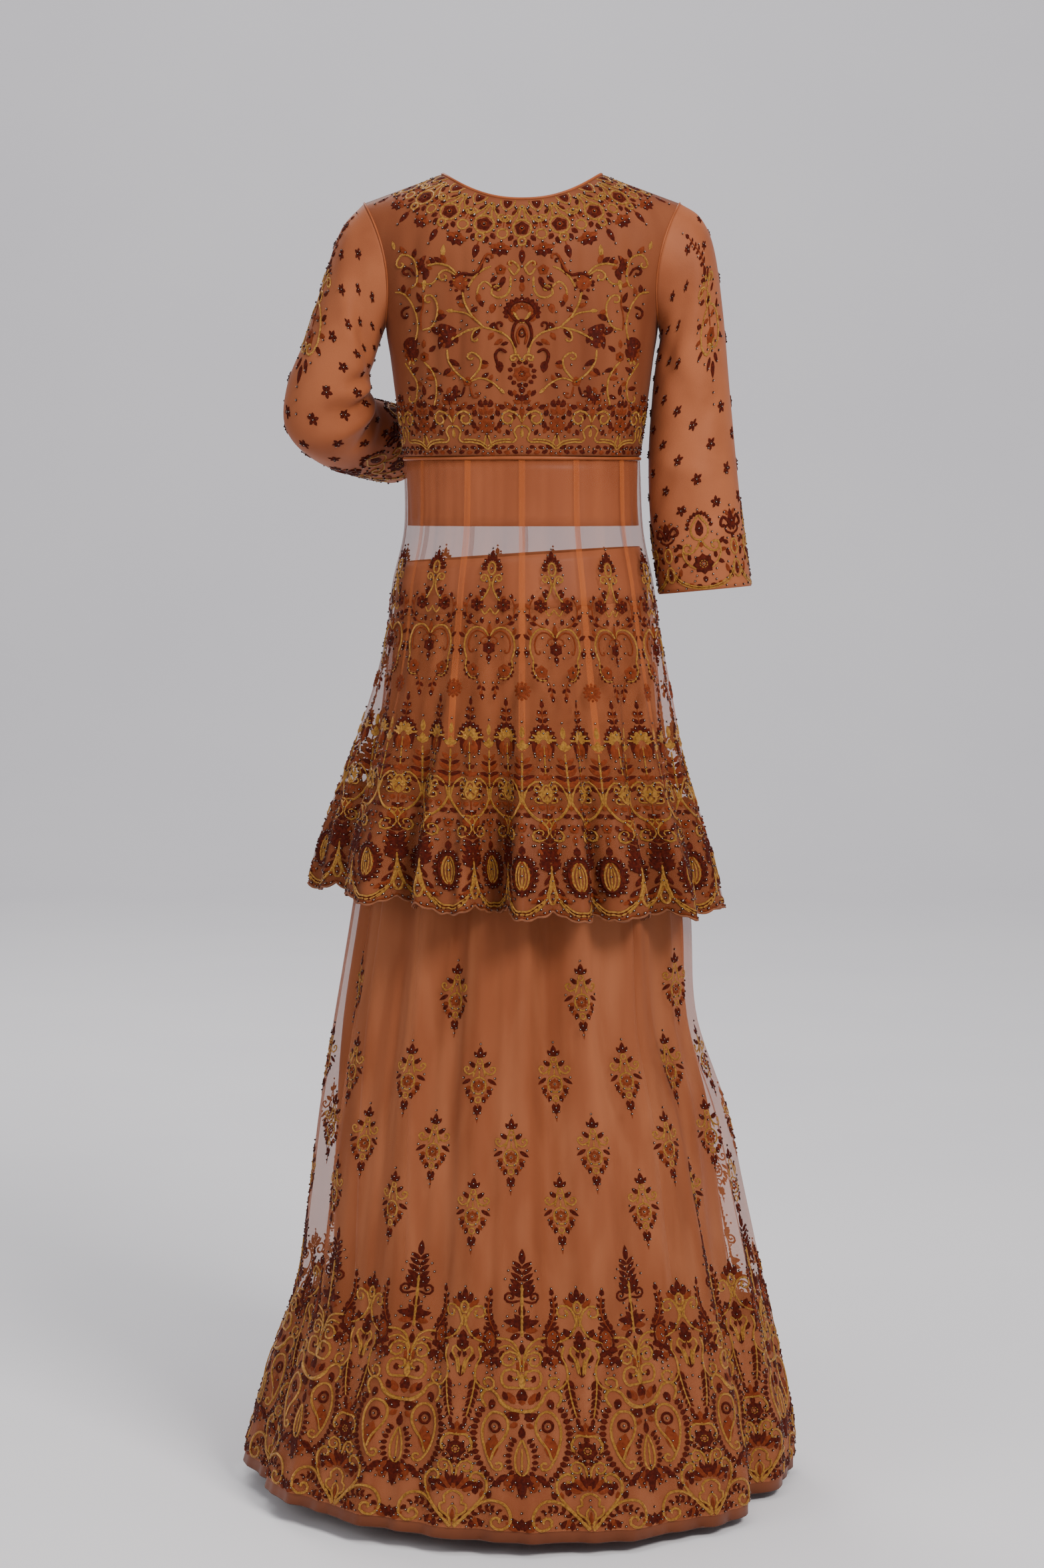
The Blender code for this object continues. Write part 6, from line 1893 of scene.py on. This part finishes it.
class Embroidery:
    """Works stitched onto grounds, gathered into one piece."""

    def __init__(self, name, slot):
        self.name, self.slot = name, slot
        self.points, self.marks, self.faces, self.threads, self.count = [], [], [], [], 0

    def stitch(self, work, ground, spot, turn=0.0, size=(1.0, 1.0)):
        """A work placed on a ground, with its origin on a spot."""
        if turn or size != (1.0, 1.0):
            laid = Work()
            laid.join(work, turn, size)
            work = laid
        first, second = ground.reach(spot, work.points[:, 0] / 1000, work.points[:, 1] / 1000)
        lift = STITCH_LIFT + work.points[:, 2] / 1000
        self.points.append(ground.read(first, second, lift))
        self.marks.append(work.marks)
        self.faces.append(work.faces + self.count)
        self.threads.append(work.threads)
        self.count += len(work.points)

    def finish(self, threads):
        """The piece, with its threads as materials."""
        faces = np.concatenate(self.faces)
        piece = make_mesh(self.name, np.concatenate(self.points), faces, np.concatenate(self.marks),
                          threads, np.concatenate(self.threads))
        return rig.slot(piece, self.slot)


def screen(red, green, blue):
    """A screen colour of 0 to 255 as linear light."""
    shares = [value / 255 for value in (red, green, blue)]
    return [value / 12.92 if value <= 0.04045 else ((value + 0.055) / 1.055) ** 2.4 for value in shares]


class Finish:
    """A material with the colours and the shine of a look, to which relief is added."""

    def __init__(self, look):
        self.material = bpy.data.materials.new(look.name)
        self.material.use_nodes = True
        self.nodes, self.links = self.material.node_tree.nodes, self.material.node_tree.links
        self.shader = self.nodes["Principled BSDF"]
        colour = (*screen(*look.colour), 1.0)
        for socket, value in (("Base Color", colour), ("Roughness", look.roughness),
                              ("Metallic", look.metallic), ("Alpha", look.alpha),
                              ("Specular IOR Level", look.specular), ("Sheen Weight", look.sheen),
                              ("Sheen Roughness", SHEEN_ROUGHNESS)):
            self.shader.inputs[socket].default_value = value
        # A bead gets a painted highlight near its tip from its height marks, in place of soft patches
        if look.scale is None:
            level = self.painted_glint_height()
        else:
            noise = self.pattern("Noise", look.scale, MOTTLE_DETAIL, look.stretch)
            level = noise.outputs["Fac"]
        ramp = self.nodes.new("ShaderNodeMapRange")
        ramp.inputs["From Min"].default_value = look.low
        ramp.inputs["From Max"].default_value = look.high
        mix = self.nodes.new("ShaderNodeMix")
        mix.data_type = "RGBA"
        mix.inputs["A"].default_value = colour
        mix.inputs["B"].default_value = (*screen(*look.second), 1.0)
        self.links.new(level, ramp.inputs["Value"])
        self.links.new(ramp.outputs["Result"], mix.inputs["Factor"])
        self.links.new(mix.outputs["Result"], self.shader.inputs["Base Color"])

    def pattern(self, kind, scale, detail, stretch=EVEN, source="Object"):
        """A noise or wave over the object or over its stitches."""
        place = self.nodes.new("ShaderNodeTexCoord")
        mapping = self.nodes.new("ShaderNodeMapping")
        mapping.inputs["Scale"].default_value = stretch
        texture = self.nodes.new(f"ShaderNodeTex{kind}")
        texture.inputs["Scale"].default_value = scale
        texture.inputs["Detail"].default_value = detail
        self.links.new(place.outputs[source], mapping.inputs["Vector"])
        self.links.new(mapping.outputs["Vector"], texture.inputs["Vector"])
        return texture

    def painted_glint_height(self):
        """How high up a bead a place is, from the marks of its stitches, which sets where its painted highlight goes
        near the tip.
        """
        place = self.nodes.new("ShaderNodeTexCoord")
        marks = self.nodes.new("ShaderNodeSeparateXYZ")
        self.links.new(place.outputs["UV"], marks.inputs["Vector"])
        return marks.outputs["X"]

    def bump(self, texture, strength, depth):
        """Relief from a texture."""
        bump = self.nodes.new("ShaderNodeBump")
        bump.inputs["Strength"].default_value = strength
        bump.inputs["Distance"].default_value = depth
        self.links.new(texture.outputs[0], bump.inputs["Height"])
        self.links.new(bump.outputs["Normal"], self.shader.inputs["Normal"])

    def grain(self, relief):
        """The relief of a cloth."""
        texture = self.pattern(relief.kind, relief.scale, relief.detail, relief.stretch)
        self.bump(texture, relief.strength, relief.depth)

    def stitched(self, bands):
        """Relief of threads laid side by side across the stitches."""
        wave = self.pattern("Wave", bands.scale, 1.0, source="UV")
        wave.inputs["Distortion"].default_value = BAND_DISTORTION
        wave.wave_type = "BANDS"
        wave.bands_direction = bands.direction
        self.bump(wave, bands.strength, BAND_DEPTH)


def make_materials():
    """Every material of the suit, by name."""
    found = {}
    for look in LOOKS:
        finish = Finish(look)
        if look.name in RELIEFS:
            finish.grain(RELIEFS[look.name])
        if look.name in BANDS:
            finish.stitched(BANDS[look.name])
        found[look.name] = finish.material
    return found


def add_cord(name, path, radius, material, slot, sides=CORD_SIDES):
    """A closed round cord along a loop of points."""
    count = len(path)
    run = np.roll(path, -1, axis=0) - np.roll(path, 1, axis=0)
    run /= np.linalg.norm(run, axis=1, keepdims=True)
    side = np.cross(run, np.array([0.0, 0.0, 1.0]))
    side /= np.linalg.norm(side, axis=1, keepdims=True)
    up = np.cross(side, run)
    turn = np.linspace(0.0, 2 * math.pi, sides, endpoint=False)
    points = (path[:, None, :] + radius * (np.cos(turn)[None, :, None] * side[:, None, :]
                                           + np.sin(turn)[None, :, None] * up[:, None, :]))
    ring, around = np.meshgrid(np.arange(count), np.arange(sides), indexing="ij")
    after, beside = (ring + 1) % count, (around + 1) % sides
    faces = np.stack([ring * sides + around, after * sides + around,
                      after * sides + beside, ring * sides + beside], axis=-1).reshape(-1, 4)
    marks = np.stack([ring.ravel() * 1.0, around.ravel() * 1.0], axis=1)
    piece = make_mesh(name, points.reshape(-1, 3), faces, marks, [material])
    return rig.slot(piece, slot)


def add_seams(ground, material):
    """The narrow strips where the gores are sewn together and the net lies double."""
    across, down = np.meshgrid((-SEAM_WIDTH / 2, SEAM_WIDTH / 2),
                               np.linspace(0.0, SEAM_END, SEAM_STEPS))
    across, down = across.ravel(), down.ravel()
    points, marks, faces = [], [], []
    row = np.arange(SEAM_STEPS - 1) * 2
    strip = np.stack([row, row + 1, row + 3, row + 2], axis=1)
    for gore in range(GORES):
        first, second = ground.reach((360.0 / GORES * gore, 0.0), across, -down * ground.length)
        points.append(ground.read(first, second, np.full(across.size, SEAM_LIFT)))
        marks.append(np.stack([across, down], axis=1))
        faces.append(strip + gore * across.size)
    piece = make_mesh("peplum_seams", np.concatenate(points), np.concatenate(faces),
                      np.concatenate(marks), [material])
    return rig.slot(piece, "net")


def add_stage():
    """The floor that rises into a backdrop."""
    profile = [(FLOOR_NEAR, 0.0), (FLOOR_FAR, 0.0)]
    bend = [(FLOOR_FAR - BACKDROP_BEND * math.sin(turn), BACKDROP_BEND * (1 - math.cos(turn)))
            for turn in np.radians(np.linspace(*BACKDROP_TURNS))]
    profile += bend + [(bend[-1][0], BACKDROP_TOP)]
    points = [(x, y, FLOOR_Z + z) for y, z in profile for x in (-FLOOR_HALF, FLOOR_HALF)]
    faces = np.array([(2 * row, 2 * row + 1, 2 * row + 3, 2 * row + 2)
                      for row in range(len(profile) - 1)])
    material = Finish(BACKDROP_LOOK).material
    piece = make_mesh("backdrop", points, faces, np.zeros((len(points), 2)), [material])
    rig.stage(piece)


def add_lamp(lamp):
    """A soft square lamp that looks at a point."""
    light = bpy.data.lights.new(lamp.name, "AREA")
    light.size, light.energy, light.color = lamp.size, lamp.power, lamp.colour
    holder = bpy.data.objects.new(lamp.name, light)
    holder.location = lamp.place
    aim = Vector(lamp.target) - Vector(lamp.place)
    holder.rotation_euler = aim.to_track_quat("-Z", "Y").to_euler()
    bpy.context.collection.objects.link(holder)


def add_camera():
    """The camera of the photo."""
    lens = bpy.data.cameras.new("camera")
    lens.lens, lens.sensor_width = CAMERA_LENS, CAMERA_SENSOR
    camera = bpy.data.objects.new("camera", lens)
    camera.location = CAMERA_PLACE
    camera.rotation_euler = (math.radians(90.0 - CAMERA_DIP), 0.0, math.pi)
    bpy.context.collection.objects.link(camera)
    bpy.context.scene.camera = camera


def light_scene():
    """Soft studio light and a pale surround."""
    world = bpy.data.worlds.new("studio")
    world.use_nodes = True
    surround = world.node_tree.nodes["Background"]
    surround.inputs["Color"].default_value = (*screen(*SURROUND), 1.0)
    surround.inputs["Strength"].default_value = SURROUND_STRENGTH
    bpy.context.scene.world = world
    for lamp in LAMPS:
        add_lamp(lamp)


def place_bodice(materials):
    """The cloth of the bodice, and the grounds of its back, front, waist and neck."""
    grounds, panels = {}, []
    for face in ("back", "front"):
        points, normals = bodice_cloth(face, *BODICE_GRID)
        panels.append(points)
        piece = cloth(f"bodice_{face}_cloth", points, normals, materials["mounted_net"],
                      "embroidered_net", False, SHELL)
        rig.replaces(piece, f"bodice_{face}")
        grounds[face] = bodice_ground(face, BODICE_DESIGN_TOP[face], *BODICE_DESIGN_GRID)
    grounds["waist"] = waist_ground(WAIST_DESIGN_TOP, *WAIST_DESIGN_GRID)
    grounds["collar"] = collar_ground(panels, *COLLAR_GRID)
    return grounds


def place_sleeves(materials):
    """The cloth of the sleeves, which are also their grounds, and the seams of the armholes."""
    grounds = {}
    for name, rings, side, creases, nodes in (
            ("left", BENT_SLEEVE, 1.0, BENT_CREASES, ("sleeve_left_upper", "sleeve_left_lower")),
            ("right", STRAIGHT_SLEEVE, -1.0, STRAIGHT_CREASES, ("sleeve_right",))):
        ground = sleeve_ground(rings, side, creases, *SLEEVE_GRID, SLEEVE_LENGTH[name])
        piece = tube(f"sleeve_{name}_cloth", ground, materials["sleeve_net"], "embroidered_net")
        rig.replaces(piece, *nodes)
        grounds[f"sleeve_{name}"] = ground
        add_cord(f"armhole_seam_{name}", ground.points[0], ARMHOLE_SEAM_RADIUS, materials["binding"],
                 "binding", THIN_CORD_SIDES)
    return grounds


def place_peplum(materials):
    """The net of the peplum, which is also its ground, and the band, facing and seams."""
    band = hanging_ground(midriff_at, *BAND_GRID, PEPLUM_TOP_Z - MIDRIFF_END_Z)
    piece = tube("midriff_band", band, materials["band_satin"], "satin")
    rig.replaces(piece, "midriff_lining")
    length = PEPLUM_TOP_Z - PEPLUM_HEM_Z
    peplum = hanging_ground(lambda angle, share, cut: peplum_at(angle, share, 0.0, cut), *PEPLUM_GRID,
                            length, folded=peplum_at)
    piece = tube("peplum_net", peplum, materials["net"], "net", 0.0)
    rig.replaces(piece, *[f"peplum_gore_{gore + 1:02d}" for gore in range(GORES)])
    add_seams(peplum, materials["net_seam"])
    facing = hanging_ground(lambda angle, share, cut: peplum_at(angle, share, FACING_LIFT, cut),
                            *PEPLUM_FACING_GRID, length, (PEPLUM_FACED, 1.0), peplum_at)
    piece = tube("peplum_facing", facing, materials["facing_satin"], "satin")
    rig.replaces(piece, "peplum_hem_facing")
    return {"peplum": peplum}


def place_trim(materials, neck):
    """The piping of the waist and the binding along the neck."""
    angle = np.linspace(0.0, 360.0, CORD_STEPS, endpoint=False)
    waist = girth(PEPLUM, angle, np.full(CORD_STEPS, WAIST_SEAM_Z - SEAM_GAP - PIPING_RADIUS))
    piping = add_cord("waist_piping_cord", waist, PIPING_RADIUS, materials["binding"], "binding")
    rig.replaces(piping, "waist_piping")
    binding = add_cord("neck_binding_cord", neck, BINDING_RADIUS, materials["binding"], "binding")
    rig.replaces(binding, "neck_binding")


def place_skirt(materials):
    """The cloth of the skirt and the ground of its net."""
    length = YOKE_SEAM_Z - SKIRT_HEM_Z - HEM_STRIP
    band = hanging_ground(waistband_at, *WAISTBAND_GRID, SKIRT_TOP_Z - YOKE_SEAM_Z)
    piece = tube("waistband_cloth", band, materials["band_satin"], "satin")
    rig.replaces(piece, "skirt_waistband")
    lining = hanging_ground(lining_at, *LINING_GRID, length)
    piece = tube("skirt_lining_cloth", lining, materials["satin"], "satin")
    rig.replaces(piece, "skirt_lining_back", "skirt_lining_front")
    net = hanging_ground(lambda angle, share, cut: skirt_at(angle, share), *SKIRT_GRID, length,
                         folded=skirt_at)
    piece = tube("skirt_net", net, materials["skirt_tulle"], "net", 0.0)
    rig.replaces(piece, "skirt_net_back", "skirt_net_right", "skirt_net_left")
    strip_end = 1.0 + HEM_STRIP / length
    facing = hanging_ground(lambda angle, share: skirt_at(angle, share, FACING_LIFT),
                            *SKIRT_FACING_GRID, length, (SKIRT_FACED, strip_end))
    piece = tube("skirt_facing", facing, materials["facing_satin"], "satin")
    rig.replaces(piece, "skirt_hem_facing")
    path = facing.points[-1, ::2] - facing.normals[-1, ::2] * HEM_EDGE_RADIUS
    add_cord("skirt_hem_edge", path, HEM_EDGE_RADIUS, materials["hem_edge"], "satin", THIN_CORD_SIDES)
    return {"skirt": net}


def stitch_skirt(grounds, threads):
    """The border of the skirt, in three lengths, and the sprigs above it."""
    paisleys, lotus = drawn(PAISLEYS), drawn(LOTUS)
    turn = 360.0 / BORDER_REPEATS
    for name, first, count in BORDER_LENGTHS:
        border = Embroidery(f"skirt_border_{name}", "embroidered_net")
        for repeat in range(first, first + count):
            border.stitch(paisleys, grounds["skirt"], (turn * repeat, 1.0), 0.0, BORDER_SIZE)
            border.stitch(lotus, grounds["skirt"], (turn * (repeat + 0.5), 1.0), 0.0, BORDER_SIZE)
        border.finish(threads)
    sprigs = Embroidery("skirt_sprigs", "embroidered_net")
    sprig = drawn(SPRIG)
    for row in SPRIG_ROWS:
        for step in range(row.count):
            sprigs.stitch(sprig, grounds["skirt"], (row.first + 360.0 * step / row.count, row.share))
    sprigs.finish(threads)


def stitch_peplum(grounds, threads):
    """What is stitched on the peplum's net, its upper and lower part, and its edge."""
    ground = grounds["peplum"]
    upper = Embroidery("peplum_candelabra", "embroidered_net")
    candelabra, zinnia = drawn(CANDELABRA), drawn(ZINNIA)
    turn = 360.0 / GORES
    for gore in range(GORES):
        upper.stitch(candelabra, ground, (turn * (gore + 0.5), CANDELABRA_SHARE))
        upper.stitch(zinnia, ground, (turn * gore, ZINNIA_SHARE))
    upper.finish(threads)
    carnation, medallion = drawn(CARNATION), drawn(MEDALLION)
    turn = 360.0 / SCALLOPS
    for name, first in (("back", -SCALLOPS // 4), ("front", SCALLOPS // 4)):
        lower = Embroidery(f"peplum_border_{name}", "embroidered_net")
        for cell in range(first, first + SCALLOPS // 2):
            lower.stitch(medallion, ground, (turn * cell, 1.0))
            lower.stitch(carnation, ground, (turn * (cell + 0.5), 1.0))
        lower.finish(threads)
    edge = Embroidery("peplum_edge", "binding")
    around = 2 * math.pi * ground.radius[-1] * 1000
    for row in EDGE_LINES:
        line = np.stack([np.linspace(0.0, around, EDGE_STEPS), np.full(EDGE_STEPS, -row.down)], axis=1)
        work = Work()
        work.cord(line, row.width, row.thread)
        edge.stitch(work, ground, (0.0, 1.0))
    edge.finish(threads)


def stitch_bodice(grounds, threads):
    """The lyre on the back and front, the border at the waist and the collar round the neck."""
    lyre = drawn(LYRE)
    for face in ("back", "front"):
        ground = grounds[face]
        panel = Embroidery(f"bodice_{face}_embroidery", "embroidered_net")
        tall = min((BODICE_DESIGN_TOP[face] - WAIST_SEAM_Z) * 1000 / LYRE_TOP, LYRE_SIZE[1])
        panel.stitch(lyre, ground, (0.0, 1.0), size=(LYRE_SIZE[0], tall))
        panel.finish(threads)
    border = Embroidery("bodice_border", "embroidered_net")
    arch, point = drawn(ARCH), drawn(POINT_FLOWER)
    turn = 360.0 / ARCHES
    for repeat in range(ARCHES):
        border.stitch(arch, grounds["waist"], (turn * repeat, 1.0))
        border.stitch(point, grounds["waist"], (turn * (repeat + 0.5), 1.0))
    border.finish(threads)
    collar = Embroidery("collar", "embroidered_net")
    wheel, drop, shield = drawn(WHEEL), drawn(LOTUS_DROP), drawn(SHIELD)
    turn = 360.0 / WHEELS
    for step in range(WHEELS):
        collar.stitch(wheel, grounds["collar"], (turn * step, 0.0), size=COLLAR_SIZE)
        collar.stitch(drop, grounds["collar"], (turn * (step + 0.5), 0.0), size=COLLAR_SIZE)
        collar.stitch(shield, grounds["collar"], (turn * (step + 0.5), 0.0), size=COLLAR_SIZE)
    collar.finish(threads)


def stitch_sleeves(grounds, threads):
    """Small flowers all over a sleeve, a scroll on its outer side, and its cuff."""
    star, scroll, onion, fleur = drawn(STAR), drawn(SCROLL), drawn(ONION), drawn(FLEUR)
    for name in ("left", "right"):
        ground = grounds[f"sleeve_{name}"]
        sleeve = Embroidery(f"sleeve_{name}_embroidery", "embroidered_net")
        for row in range(STAR_ROWS):
            share = STAR_FIRST + (STAR_LAST - STAR_FIRST) * row / (STAR_ROWS - 1)
            for column in range(STAR_COLUMNS):
                angle = 360.0 * (column + (row % 2) / 2) / STAR_COLUMNS + STAR_START
                beside = abs((angle - SCROLL_ANGLE[name] + 180.0) % 360.0 - 180.0)
                if beside < SCROLL_CLEAR and SCROLL_SHARES[0] < share < SCROLL_SHARES[1]:
                    continue
                turn = STAR_TURN["column"] * column + STAR_TURN["row"] * row
                sleeve.stitch(star, ground, (angle, share), turn=turn)
        sleeve.stitch(scroll, ground, (SCROLL_ANGLE[name], sum(SCROLL_SHARES) / 2))
        for cell in range(CUFF_CELLS):
            angle = 360.0 * cell / CUFF_CELLS + CUFF_START[name]
            sleeve.stitch(onion if cell % 2 else fleur, ground, (angle, 1.0))
        sleeve.finish(threads)


def declare_cloth():
    """Each sheet, the size it was cut to, what it hangs from and what is sewn on it."""
    for cut in CUTS:
        piece = bpy.data.objects[cut.piece]
        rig.sheet(piece, flat=(cut.width, cut.length), held=cut.held, rests_on=cut.hangs_from,
                 area=cut.area, with_pieces=[bpy.data.objects[name] for name in cut.carries])


def build():
    """The whole scene."""
    materials = make_materials()
    threads = [materials[name] for name in ("gold", "maroon", "rust", "bead", "tan")]
    grounds = {**place_bodice(materials), **place_sleeves(materials), **place_peplum(materials)}
    place_trim(materials, grounds["collar"].points[0])
    grounds.update(place_skirt(materials))
    stitch_skirt(grounds, threads)
    stitch_peplum(grounds, threads)
    stitch_bodice(grounds, threads)
    stitch_sleeves(grounds, threads)
    declare_cloth()
    add_stage()
    light_scene()
    add_camera()


build()
with open("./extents.json", "w") as sizes:
    json.dump({"cad": CAD_BOUNDS, "scene": [list(corner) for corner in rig.bounds()]}, sizes)
